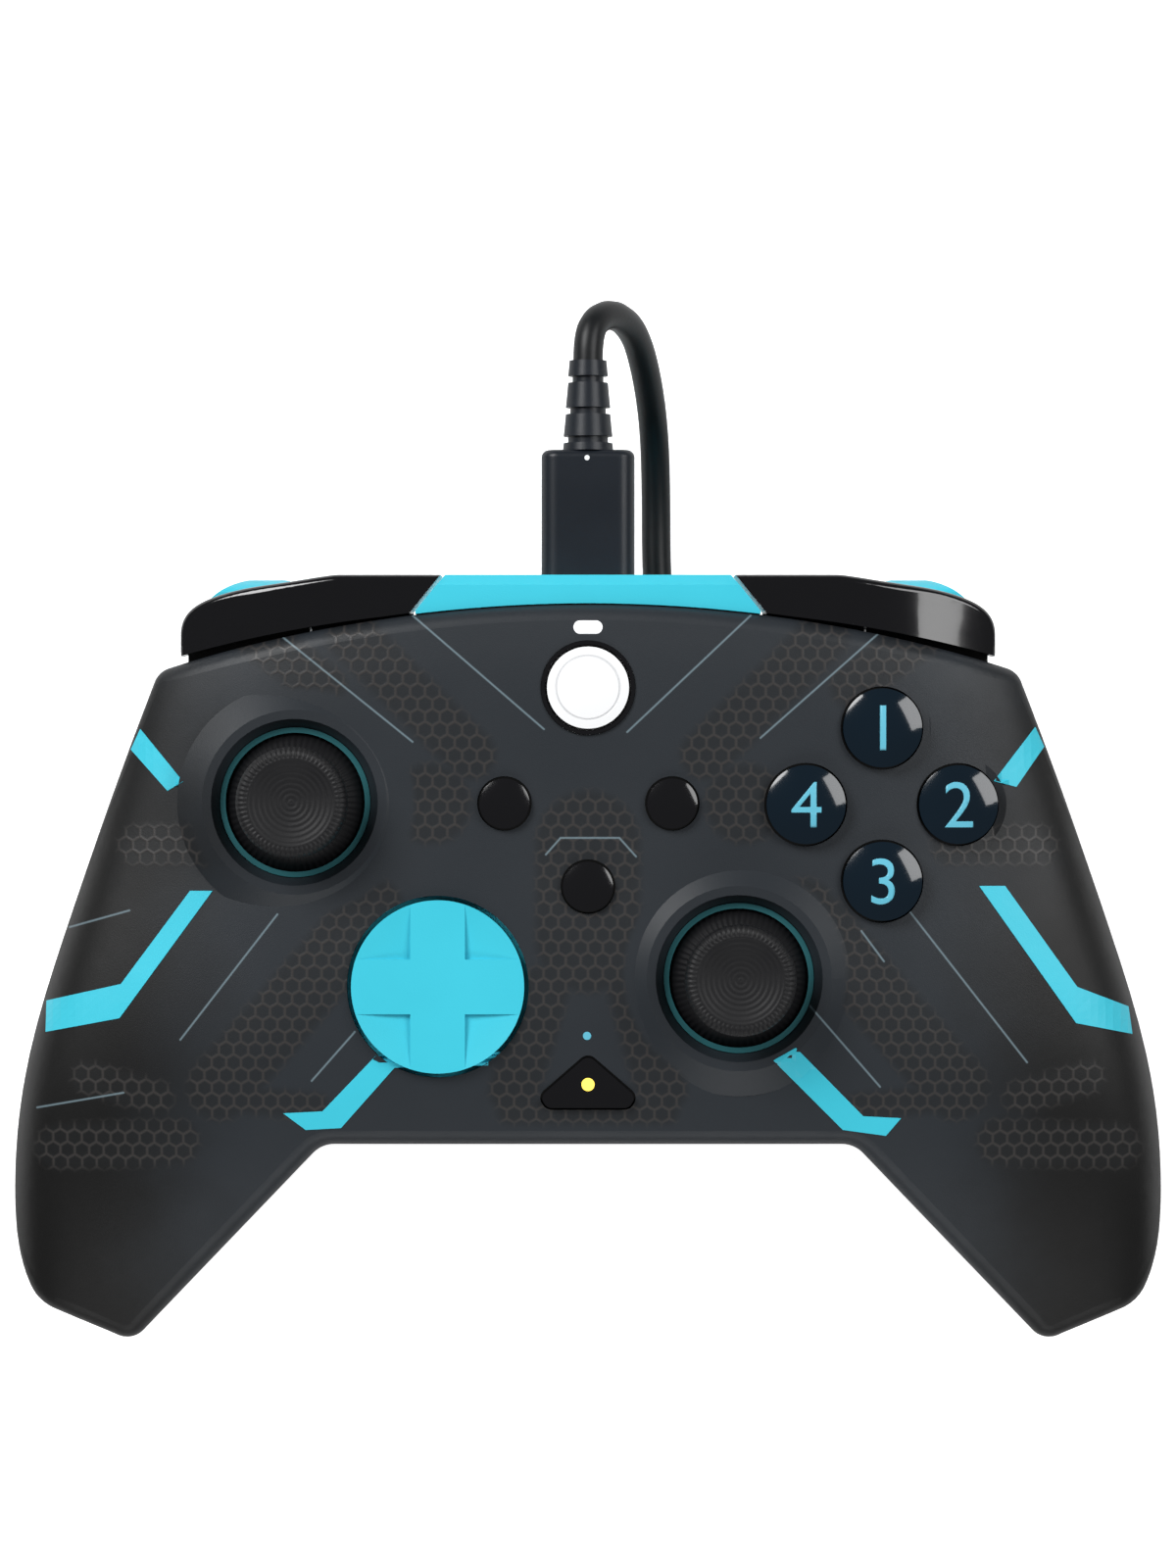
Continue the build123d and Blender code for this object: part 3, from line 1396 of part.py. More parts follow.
coil_start, coil_start_heading = coil_node(0)
coil_end, coil_end_heading = coil_node(coil_nodes)
coil_entry = coil_start - coil_start_heading * cord_diameter
coil_exit = coil_end + coil_end_heading * cord_diameter

with BuildPart() as cord_coil:
    with BuildLine() as coil_path:
        Line(coil_entry, coil_start)
        for index in range(coil_nodes):
            start, start_heading = coil_node(index)
            end, end_heading = coil_node(index + 1)
            joint, joint_heading = biarc_joint(start, start_heading, end, end_heading)
            TangentArc(start, joint, tangent=start_heading)
            TangentArc(joint, end, tangent=joint_heading)
        Line(coil_end, coil_exit)
    with BuildSketch(Plane(coil_entry, z_dir=coil_start_heading)) as coil_section:
        Circle(cord_diameter / 2)
    sweep(coil_section.sketch, path=coil_path.wires()[0])

coil_wire = coil_path.wires()[0]
coil_length = coil_wire.length
samples = [coil_wire @ (n / round(coil_length)) for n in range(round(coil_length) + 1)]
places = [(point.X, point.Y, point.Z) for point in samples]
least = min(
    (a[0] - b[0]) ** 2 + (a[1] - b[1]) ** 2 + (a[2] - b[2]) ** 2
    for n, a in enumerate(places) for b in places[n + gap_skip:]
)
coil_share = cord_coil.part.volume / (coil_length * pi * cord_diameter ** 2 / 4)
print("cord_coil length", round(coil_length, 1), "volume share", round(coil_share, 4))
print("cord_coil turns", round(coil_turns, 2), "least gap", round(least ** 0.5 - cord_diameter, 3))
save(cord_coil.part, "cord_coil")

lead_route = [
    (0, relief_end_y, socket_z), (0, relief_end_y + lead_rise, socket_z), *lead_points,
    tuple(coil_entry - coil_start_heading * lead_reach), tuple(coil_entry),
]
lead_length = cord_tube(lead_route, "cord_lead")
far_axis_z = far_plug_thickness / 2
tail_route = [
    tuple(coil_exit), tuple(coil_exit + coil_end_heading * tail_reach), *tail_points,
    (far_plug_x, tail_end_y + tail_drop, far_axis_z), (far_plug_x, tail_end_y, far_axis_z),
]
tail_length = cord_tube(tail_route, "cord_tail")
print("cord length", round(lead_length + coil_length + tail_length))

# Tie round the coil, and the plug at the far end with its metal shell
with BuildPart() as cord_tie:
    tie_left = coil_x - coil_outer - cord_diameter / 2 - tie_gap
    tie_right = coil_x - coil_inner + cord_diameter / 2 + tie_inner_gap
    tie_top = coil_bottom_z + (coil_layers - 1) * coil_pitch + cord_diameter / 2 + tie_gap
    tie_low = coil_bottom_z - cord_diameter / 2 - tie_gap
    with BuildSketch(Plane.XZ.offset(-coil_y - tie_width / 2)):
        with Locations(((tie_left + tie_right) / 2, (tie_low + tie_top) / 2)):
            RectangleRounded(
                tie_right - tie_left + 2 * tie_thickness, tie_top - tie_low + 2 * tie_thickness,
                tie_round + tie_thickness,
            )
            RectangleRounded(tie_right - tie_left, tie_top - tie_low, tie_round, mode=Mode.SUBTRACT)
    extrude(amount=tie_width)
save(cord_tie.part, "cord_tie")

far_body_y = tail_end_y - far_relief_length
far_front_y = far_body_y - far_plug_length

with BuildPart() as far_plug:
    with BuildSketch(Plane.XZ.offset(-far_body_y)):
        with Locations((far_plug_x, far_axis_z)):
            RectangleRounded(far_plug_width, far_plug_thickness, far_plug_round)
    extrude(amount=far_plug_length)
    with BuildSketch(Plane.XZ.offset(-tail_end_y)):
        with Locations((far_plug_x, far_axis_z)):
            Circle(relief_tip_radius)
    with BuildSketch(Plane.XZ.offset(-far_body_y)):
        with Locations((far_plug_x, far_axis_z)):
            Circle(relief_radius)
    loft()
save(far_plug.part, "far_plug")

with BuildPart() as far_plug_shell:
    with BuildSketch(Plane.XZ.offset(-far_front_y)):
        with Locations((far_plug_x, far_axis_z)):
            Rectangle(far_shell_width, far_shell_thickness)
            Rectangle(
                far_shell_width - 2 * far_shell_wall, far_shell_thickness - 2 * far_shell_wall,
                mode=Mode.SUBTRACT,
            )
    extrude(amount=far_shell_length)
save(far_plug_shell.part, "far_plug_shell")
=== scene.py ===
import json
import math

import bmesh
import bpy
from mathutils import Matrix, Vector
from mathutils.bvhtree import BVHTree


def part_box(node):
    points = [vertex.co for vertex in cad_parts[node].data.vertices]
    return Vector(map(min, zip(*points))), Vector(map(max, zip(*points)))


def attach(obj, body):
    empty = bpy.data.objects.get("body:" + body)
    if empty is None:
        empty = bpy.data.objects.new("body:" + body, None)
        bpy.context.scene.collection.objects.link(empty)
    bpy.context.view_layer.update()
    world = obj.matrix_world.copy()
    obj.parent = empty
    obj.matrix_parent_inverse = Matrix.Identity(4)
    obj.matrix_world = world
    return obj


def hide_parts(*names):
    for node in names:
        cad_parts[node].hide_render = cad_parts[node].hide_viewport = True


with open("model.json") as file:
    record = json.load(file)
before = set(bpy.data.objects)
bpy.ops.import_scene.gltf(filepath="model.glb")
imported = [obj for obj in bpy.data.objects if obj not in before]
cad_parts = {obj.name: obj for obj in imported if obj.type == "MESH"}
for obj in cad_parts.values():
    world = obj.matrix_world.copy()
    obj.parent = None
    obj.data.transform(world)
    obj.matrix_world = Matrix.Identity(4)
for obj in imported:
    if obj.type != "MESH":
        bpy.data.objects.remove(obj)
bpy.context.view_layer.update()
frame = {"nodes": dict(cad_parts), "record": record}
nodes = frame["nodes"]
MM = 0.001

# Photograph's framing: its size, its scale at the pad's widest outline and the pixel over the origin
PHOTO_WIDTH_PX = 1200
PHOTO_HEIGHT_PX = 1600
PX_PER_MM = 7.57
ORIGIN_PX = (600.0, 976.5)
OUTLINE_Z = 0.028
CAMERA_DISTANCE = 0.75
SENSOR_MM = 36.0


def photo_mm(px, py):
    """Place of a pixel of the photograph, in millimetres, at the height of the widest outline."""
    return (px - ORIGIN_PX[0]) / PX_PER_MM, (ORIGIN_PX[1] - py) / PX_PER_MM


CAMERA_X, CAMERA_Y = photo_mm(PHOTO_WIDTH_PX / 2, PHOTO_HEIGHT_PX / 2)
CAMERA_Z = OUTLINE_Z + CAMERA_DISTANCE


# Camera straight above the pad

def make_camera():
    lens = bpy.data.cameras.new("camera")
    lens.sensor_width = SENSOR_MM
    lens.lens = SENSOR_MM * CAMERA_DISTANCE / (PHOTO_HEIGHT_PX / PX_PER_MM * MM)
    camera = bpy.data.objects.new("camera", lens)
    camera.location = (CAMERA_X * MM, CAMERA_Y * MM, CAMERA_Z)
    bpy.context.collection.objects.link(camera)
    bpy.context.scene.camera = camera


make_camera()

# Lead: where it leaves the relief, the fold, the run under the body, the coil and the tail
CORD_DIAMETER = 4.0
LEAD_POINTS = [
    (0, 80.2, 30.2), (0, 83.6, 30.2), (1.3, 86.2, 28.3), (3.8, 87.0, 24.4), (6.4, 85.0, 19.0),
    (8.1, 79.6, 12.4), (9.2, 72.6, 5.6), (9.5, 63.2, 2.4), (9.5, 53.2, 2.0), (10.3, 43.0, 2.0),
]
TAIL_POINTS = [
    (10.5, 42.2, 13.0), (19.5, 40.8, 8.2), (27.0, 36.6, 5.0), (31.8, 30.2, 3.9),
    (34.0, 22.5, 3.8), (34.0, 15.5, 3.8),
]
LEAD_REACH = 5.0
TAIL_REACH = 5.5
COIL_CENTRE = (-8.5, 11.0)
COIL_MEAN_RADIUS = 22.1
COIL_PITCH = 4.45
COIL_LAYERS = 4
COIL_LAYER_TURNS = 4
COIL_START_ANGLE = 30.0
COIL_END_ANGLE = 90.0
COIL_BOTTOM_Z = 2.8
COIL_CLIMB_STEPS = 16
COIL_POINTS_A_TURN = 24


def coil_points():
    """Centreline of the coil: spirals in and out again, layer on layer, and climbs where it reverses."""
    turns = COIL_LAYERS * COIL_LAYER_TURNS - (COIL_END_ANGLE - COIL_START_ANGLE) / 360
    layer_turns = turns / COIL_LAYERS
    climb = layer_turns / COIL_CLIMB_STEPS
    inner = COIL_MEAN_RADIUS - COIL_PITCH * layer_turns / 2
    outer = COIL_MEAN_RADIUS + COIL_PITCH * layer_turns / 2
    count = round(turns * COIL_POINTS_A_TURN)
    points = []
    for n in range(count + 1):
        turn = turns * n / count
        nearest = round(turn / layer_turns)
        away = turn - nearest * layer_turns
        rounding = min(abs(away) / climb, 1)
        eased = climb * (2 * rounding ** 2 - rounding ** 3) if rounding < 1 else abs(away)
        radius = outer - COIL_PITCH * eased if nearest % 2 == 0 else inner + COIL_PITCH * eased
        if 0 < nearest < COIL_LAYERS:
            share = max(-1, min(1, away / climb)) / 2 + 1 / 2
            level = nearest - 1 + share * share * (3 - 2 * share)
        else:
            level = 0 if nearest == 0 else COIL_LAYERS - 1
        angle = math.radians(COIL_START_ANGLE - 360 * turn)
        points.append((
            COIL_CENTRE[0] + radius * math.cos(angle), COIL_CENTRE[1] + radius * math.sin(angle),
            COIL_BOTTOM_Z + level * COIL_PITCH,
        ))
    return points


def stepped_back(point, angle, reach):
    """Point on the straight that meets the coil at this angle, so far before it, or past it if negative."""
    heading = (math.sin(math.radians(angle)), -math.cos(math.radians(angle)))
    return point[0] - heading[0] * reach, point[1] - heading[1] * reach, point[2]


def nurbs_tube(name, points, diameter):
    """Curve with these points, in millimetres, as control points of one smooth spline."""
    curve = bpy.data.curves.new(name, "CURVE")
    curve.dimensions = "3D"
    # Points carry the radius, because Blender counts it, times one, in the curve's bounding box
    curve.bevel_depth = 1.0
    curve.bevel_resolution = 5
    curve.resolution_u = 6
    curve.use_fill_caps = True
    spline = curve.splines.new("NURBS")
    spline.points.add(len(points) - 1)
    for point, place in zip(spline.points, points):
        point.co = (place[0] * MM, place[1] * MM, place[2] * MM, 1)
        point.radius = diameter / 2 * MM
    spline.order_u = 3
    spline.use_endpoint_u = True
    made = bpy.data.objects.new(name, curve)
    bpy.context.collection.objects.link(made)
    return made


def make_cord():
    coil = coil_points()
    into = [
        stepped_back(coil[0], COIL_START_ANGLE, CORD_DIAMETER + LEAD_REACH),
        stepped_back(coil[0], COIL_START_ANGLE, CORD_DIAMETER),
    ]
    out = [
        stepped_back(coil[-1], COIL_END_ANGLE, -CORD_DIAMETER),
        stepped_back(coil[-1], COIL_END_ANGLE, -CORD_DIAMETER - TAIL_REACH),
    ]
    made = nurbs_tube("lead_cable", LEAD_POINTS + into + coil + out + TAIL_POINTS, CORD_DIAMETER)
    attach(made, "pad")
    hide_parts("cord_lead", "cord_coil", "cord_tail")
    return made


cable = make_cord()


# Helpers for shader nodes

def input_or_value(tree, socket, value):
    """Links a socket, or sets a plain value."""
    if isinstance(value, bpy.types.NodeSocket):
        tree.links.new(value, socket)
    elif value is not None:
        socket.default_value = value


def maths(tree, operation, *values, clamp=False):
    node = tree.nodes.new("ShaderNodeMath")
    node.operation = operation
    node.use_clamp = clamp
    for socket, value in zip(node.inputs, values):
        input_or_value(tree, socket, value)
    return node.outputs[0]


def vectors(tree, operation, *values, scale=None):
    node = tree.nodes.new("ShaderNodeVectorMath")
    node.operation = operation
    for socket, value in zip(node.inputs, values):
        input_or_value(tree, socket, value)
    if scale is not None:
        input_or_value(tree, node.inputs["Scale"], scale)
    return node.outputs["Value"] if operation in ("DOT_PRODUCT", "LENGTH") else node.outputs["Vector"]


def smooth_step(tree, value, low, high, to_low=0.0, to_high=1.0):
    node = tree.nodes.new("ShaderNodeMapRange")
    node.interpolation_type = "SMOOTHSTEP"
    for name, given in (
        ("Value", value), ("From Min", low), ("From Max", high), ("To Min", to_low), ("To Max", to_high),
    ):
        input_or_value(tree, node.inputs[name], given)
    return node.outputs["Result"]


def mix_inputs(tree, share, first, second):
    """Mix of two colours, whose sockets Blender lists after those of its other data types."""
    node = tree.nodes.new("ShaderNodeMix")
    node.data_type = "RGBA"
    input_or_value(tree, node.inputs[0], share)
    input_or_value(tree, node.inputs[6], first)
    input_or_value(tree, node.inputs[7], second)
    return node.outputs[2]


def new_group(name, inputs, outputs):
    tree = bpy.data.node_groups.new(name, "ShaderNodeTree")
    for label, kind in inputs:
        tree.interface.new_socket(name=label, in_out="INPUT", socket_type=kind)
    for label, kind in outputs:
        tree.interface.new_socket(name=label, in_out="OUTPUT", socket_type=kind)
    return tree, tree.nodes.new("NodeGroupInput").outputs, tree.nodes.new("NodeGroupOutput").inputs


def use_group(tree, group, **values):
    node = tree.nodes.new("ShaderNodeGroup")
    node.node_tree = group
    for name, value in values.items():
        input_or_value(tree, node.inputs[name.replace("_", " ")], value)
    return node.outputs


FLOAT = "NodeSocketFloat"
VECTOR = "NodeSocketVector"
# Noise is 0.5 on average
NOISE_MIDDLE = 0.5
# Moulded grain: detail of its fine and slow noise, scale of the slow one, and the fine one's share in the gloss
FINE_DETAIL = 3.0
SLOW_DETAIL = 4.0
SLOW_SCALE = 0.09
FINE_SHARE = 0.4
# Honeycomb of pitch 1: height of two rows, and a shift of whole cells that keeps the places above zero
HEX_ROWS = math.sqrt(3)
HEX_SHIFT = 100.0


def moulded_grain_group():
    """Fine moulded grain with slow changes of gloss. Vector is in millimetres."""
    tree, given, out = new_group(
        "moulded_grain",
        [("Vector", VECTOR), ("Grain Size", FLOAT), ("Roughness", FLOAT), ("Spread", FLOAT)],
        [("Roughness", FLOAT), ("Height", FLOAT), ("Shade", FLOAT)],
    )
    fine = tree.nodes.new("ShaderNodeTexNoise")
    input_or_value(tree, fine.inputs["Vector"], given["Vector"])
    input_or_value(tree, fine.inputs["Scale"], maths(tree, "DIVIDE", 1.0, given["Grain Size"]))
    fine.inputs["Detail"].default_value = FINE_DETAIL
    slow = tree.nodes.new("ShaderNodeTexNoise")
    input_or_value(tree, slow.inputs["Vector"], given["Vector"])
    slow.inputs["Scale"].default_value = SLOW_SCALE
    slow.inputs["Detail"].default_value = SLOW_DETAIL
    centred = maths(tree, "SUBTRACT", slow.outputs["Fac"], NOISE_MIDDLE)
    grained = maths(tree, "SUBTRACT", fine.outputs["Fac"], NOISE_MIDDLE)
    both = maths(tree, "ADD", centred, maths(tree, "MULTIPLY", grained, FINE_SHARE))
    spread = maths(tree, "MULTIPLY", both, given["Spread"])
    input_or_value(tree, out["Roughness"], maths(tree, "ADD", given["Roughness"], spread, clamp=True))
    input_or_value(tree, out["Height"], fine.outputs["Fac"])
    input_or_value(tree, out["Shade"], slow.outputs["Fac"])
    return tree


def band_group():
    """1 inside a straight band of the X and Y plane, from one point to another."""
    tree, given, out = new_group(
        "straight_band",
        [("Vector", VECTOR), ("Start", VECTOR), ("End", VECTOR), ("Half Width", FLOAT), ("Soft", FLOAT)],
        [("Mask", FLOAT)],
    )
    flat = vectors(tree, "MULTIPLY", given["Vector"], (1.0, 1.0, 0.0))
    from_start = vectors(tree, "SUBTRACT", flat, given["Start"])
    run = vectors(tree, "SUBTRACT", given["End"], given["Start"])
    along = maths(
        tree, "DIVIDE", vectors(tree, "DOT_PRODUCT", from_start, run), vectors(tree, "DOT_PRODUCT", run, run),
        clamp=True,
    )
    off = vectors(tree, "SUBTRACT", from_start, vectors(tree, "SCALE", run, scale=along))
    distance = vectors(tree, "LENGTH", off)
    low = maths(tree, "SUBTRACT", given["Half Width"], given["Soft"])
    high = maths(tree, "ADD", given["Half Width"], given["Soft"])
    input_or_value(tree, out["Mask"], smooth_step(tree, distance, low, high, 1.0, 0.0))
    return tree


def hex_mesh_group():
    """Walls of a honeycomb with its rows along X. Vector is in millimetres."""
    tree, given, out = new_group(
        "hex_mesh",
        [("Vector", VECTOR), ("Pitch", FLOAT), ("Wall", FLOAT)],
        [("Walls", FLOAT)],
    )
    flat = vectors(tree, "MULTIPLY", given["Vector"], (1.0, 1.0, 0.0))
    unit = vectors(tree, "SCALE", flat, scale=maths(tree, "DIVIDE", 1.0, given["Pitch"]))
    row = (1.0, HEX_ROWS, 1.0)
    half = (0.5, HEX_ROWS / 2, 0.0)
    places = []
    for cells in (HEX_SHIFT, HEX_SHIFT + 0.5):
        moved = vectors(tree, "ADD", unit, (cells, cells * HEX_ROWS, 0.0))
        wrapped = vectors(tree, "MODULO", moved, row)
        places.append(vectors(tree, "SUBTRACT", wrapped, half))
    first = vectors(tree, "LENGTH", places[0])
    second = vectors(tree, "LENGTH", places[1])
    nearer = maths(tree, "LESS_THAN", second, first)
    gap = vectors(tree, "SUBTRACT", places[1], places[0])
    chosen = vectors(tree, "ADD", places[0], vectors(tree, "SCALE", gap, scale=nearer))
    size = vectors(tree, "ABSOLUTE", chosen)
    flank = vectors(tree, "DOT_PRODUCT", size, (0.5, HEX_ROWS / 2, 0.0))
    side = vectors(tree, "DOT_PRODUCT", size, (1.0, 0.0, 0.0))
    reach = maths(tree, "MAXIMUM", flank, side)
    inner = maths(tree, "SUBTRACT", 0.5, given["Wall"])
    input_or_value(tree, out["Walls"], smooth_step(tree, reach, inner, 0.5))
    return tree


GRAIN = moulded_grain_group()
BAND = band_group()
HEX = hex_mesh_group()


# Share of a plastic's reflection, which is half for the usual index of refraction
SPECULAR_LEVEL = 0.3


def new_material(name, colour, roughness, metallic=0.0, coat=0.0, coat_roughness=0.05):
    made = bpy.data.materials.new(name)
    made.use_nodes = True
    shader = made.node_tree.nodes["Principled BSDF"]
    shader.inputs["Base Color"].default_value = (*colour, 1)
    shader.inputs["Roughness"].default_value = roughness
    shader.inputs["Metallic"].default_value = metallic
    shader.inputs["Coat Weight"].default_value = coat
    shader.inputs["Coat Roughness"].default_value = coat_roughness
    shader.inputs["Specular IOR Level"].default_value = SPECULAR_LEVEL
    return made, made.node_tree, shader


def object_mm(tree, centre=(0, 0, 0)):
    """Object coordinates in millimetres, counted from a centre given in millimetres."""
    place = tree.nodes.new("ShaderNodeTexCoord")
    turned = tree.nodes.new("ShaderNodeMapping")
    turned.inputs["Scale"].default_value = (1 / MM,) * 3
    turned.inputs["Location"].default_value = [-v for v in centre]
    tree.links.new(place.outputs["Object"], turned.inputs["Vector"])
    return turned.outputs["Vector"]


def place_in_photo(tree, place):
    """Where the camera sees a place, in millimetres at the height of the widest outline."""
    apart = tree.nodes.new("ShaderNodeSeparateXYZ")
    tree.links.new(place, apart.inputs[0])
    below = maths(tree, "SUBTRACT", CAMERA_Z / MM, apart.outputs["Z"])
    spread = maths(tree, "DIVIDE", CAMERA_DISTANCE / MM, below)
    centre = (CAMERA_X, CAMERA_Y, 0.0)
    off = vectors(tree, "SCALE", vectors(tree, "SUBTRACT", place, centre), scale=spread)
    return vectors(tree, "ADD", off, centre)


def raise_surface(tree, shader, height, distance_mm, strength=1.0):
    bump = tree.nodes.new("ShaderNodeBump")
    bump.inputs["Distance"].default_value = distance_mm * MM
    bump.inputs["Strength"].default_value = strength
    input_or_value(tree, bump.inputs["Height"], height)
    tree.links.new(bump.outputs["Normal"], shader.inputs["Normal"])


def plastic(name, colour, roughness, grain_size, grain_depth, spread=0.1, tint=0.12, coat=0.0, metallic=0.0):
    """Moulded plastic: its colour drifts slightly, and its grain breaks up the gloss."""
    made, tree, shader = new_material(name, colour, roughness, metallic, coat)
    place = object_mm(tree)
    grain = use_group(tree, GRAIN, Vector=place, Grain_Size=grain_size, Roughness=roughness, Spread=spread)
    darker = (*[v * (1 - tint) for v in colour], 1)
    lighter = (*[min(1, v * (1 + tint)) for v in colour], 1)
    tree.links.new(mix_inputs(tree, grain["Shade"], darker, lighter), shader.inputs["Base Color"])
    tree.links.new(grain["Roughness"], shader.inputs["Roughness"])
    raise_surface(tree, shader, grain["Height"], grain_depth)
    return made


# Finishes, as linear colours
CHARCOAL = (0.018, 0.022, 0.027)
# Painted shade, near black: on the face's sides where they turn from the light, in the pits between the grips'
# pebbles and on the triggers under the shell
PAINTED_SHADE_BLACK = (0.004, 0.004, 0.004)
MESH_BROWN = (0.046, 0.042, 0.040)
MESH_CELL = (0.009, 0.010, 0.011)
LINE_PALE = (0.20, 0.28, 0.32)
GLOSS_BLACK = (0.003, 0.003, 0.004)
CYAN = (0.045, 0.52, 0.66)
TEAL = (0.020, 0.110, 0.125)
RUBBER_BLACK = (0.003, 0.003, 0.004)
WHITE = (0.84, 0.85, 0.86)
GLYPH_BLUE = (0.12, 0.46, 0.60)
REAR_BLACK = (0.008, 0.009, 0.010)
RUBBER_PALE_TONE_AND_RIDGE_HIGHLIGHT = (0.007, 0.007, 0.008)
# Painted highlight on the ridges of the stick caps' relief, also lending the rubber a slowly varying paler tone
GROOVE_PAINTED_SHADE = (0.45, 0.46, 0.48)
# Painted shade in the guide disc's moulded groove
FACE_BUTTON_BLACK = (0.001, 0.007, 0.014)
MEMBRANE_GREY = (0.035, 0.036, 0.038)
INNER_GREY = (0.05, 0.05, 0.055)
BOARD_COLOUR = (0.01, 0.08, 0.03)
STEEL = (0.55, 0.55, 0.57)
BRASS = (0.62, 0.44, 0.16)
PLUG_BLACK = (0.009, 0.012, 0.017)
JACKET_BLACK = (0.004, 0.005, 0.006)
LAMP_YELLOW = (1.0, 0.72, 0.10)
LAMP_WHITE = (0.95, 0.97, 1.0)
FLOOR_PALE = (0.84, 0.84, 0.84)

# Texture of the grips, the sticks and the guide disc, in millimetres, and where the grips' texture starts
PEBBLE_SIZE = 1.1
GRIP_FROM_MM = (34.0, 42.0)
GRIP_BELOW_MM = (25.5, 23.5)
KNURL_TEETH = 64
DISH_RING_PITCH = 0.7
GUIDE_GROOVE_RADIUS = 4.2
GUIDE_GROOVE_WIDTH = 0.22
# Where the dish of a stick's cap ends and its knurled rim starts
RIM_FROM_MM = (5.7, 6.1)
# Where the painted shade, black on a trigger where it runs under the shell, gives way to its cyan paddle
TRIGGER_SHADE_END_MM = (44.6, 45.0)

# Bands of honeycomb on the face, in the photograph's pixels, each with its half width in millimetres.
# Those of the first list are drawn on both sides of the middle.
MESH_BANDS_BOTH = [
    ((360, 650), (480, 770), 3.4),
    ((250, 640), (330, 700), 3.0),
    ((440, 820), (760, 820), 5.4),
    ((380, 930), (225, 1110), 4.4),
    ((140, 862), (230, 862), 2.6),
    ((60, 1170), (180, 1165), 3.0),
    ((235, 1120), (322, 1130), 1.9),
    ((90, 1100), (160, 1120), 2.2),
]
MESH_BANDS_MIDDLE = [
    ((600, 860), (600, 960), 7.0),
    ((555, 1010), (525, 1112), 3.4),
    ((645, 1010), (675, 1112), 3.4),
    ((520, 1134), (680, 1134), 1.7),
]
THIN_LINES_PX = [
    ((421, 628), (555, 744)), ((287, 649), (421, 757)), ((766, 628), (640, 747)), ((898, 645), (776, 753)),
    ((283, 933), (184, 1061)), ((362, 1053), (318, 1103)), ((929, 931), (1048, 1084)),
    ((879, 950), (902, 981)), ((820, 1019), (898, 1109)), ((71, 946), (132, 929)), ((38, 1130), (126, 1115)),
    ((557, 872), (572, 855)), ((572, 855), (632, 855)), ((632, 855), (649, 874)),
]
LINE_HALF_WIDTH = 0.12
# How soft the edge of a band, of a bare round and of a line is, in millimetres
BAND_SOFT = 0.9
ROUND_SOFT = 0.6
LINE_SOFT = 0.09
# Shares of the honeycomb's cells, its walls and the lines over the charcoal, and how much glossier the walls are
CELL_SHARE = 0.6
WALL_SHARE = 0.7
LINE_SHARE = 0.6
WALL_GLOSS = 0.08
# Rounds without honeycomb, about the two stick collars
BARE_ROUNDS = [((307, 818), 15.2), ((750, 994), 15.0)]
# Distances from the middle at which painted shade starts to darken the charcoal, where the face turns from the light,
# and makes it near black, and how far that wavers
SIDE_SHADE_MM = (44.0, 66.0)
SIDE_SHADE_DRIFT = 14.0
MESH_PITCH = 1.95
MESH_WALL = 0.16


def widest_mask(tree, masks):
    """Largest of several masks."""
    most = masks[0]
    for mask in masks[1:]:
        most = maths(tree, "MAXIMUM", most, mask)
    return most


def band_mask(tree, place, start, end, half_width, soft):
    """Mask of a band between two pixels of the photograph."""
    return use_group(
        tree, BAND, Vector=place, Start=(*start, 0.0), End=(*end, 0.0), Half_Width=half_width, Soft=soft,
    )["Mask"]


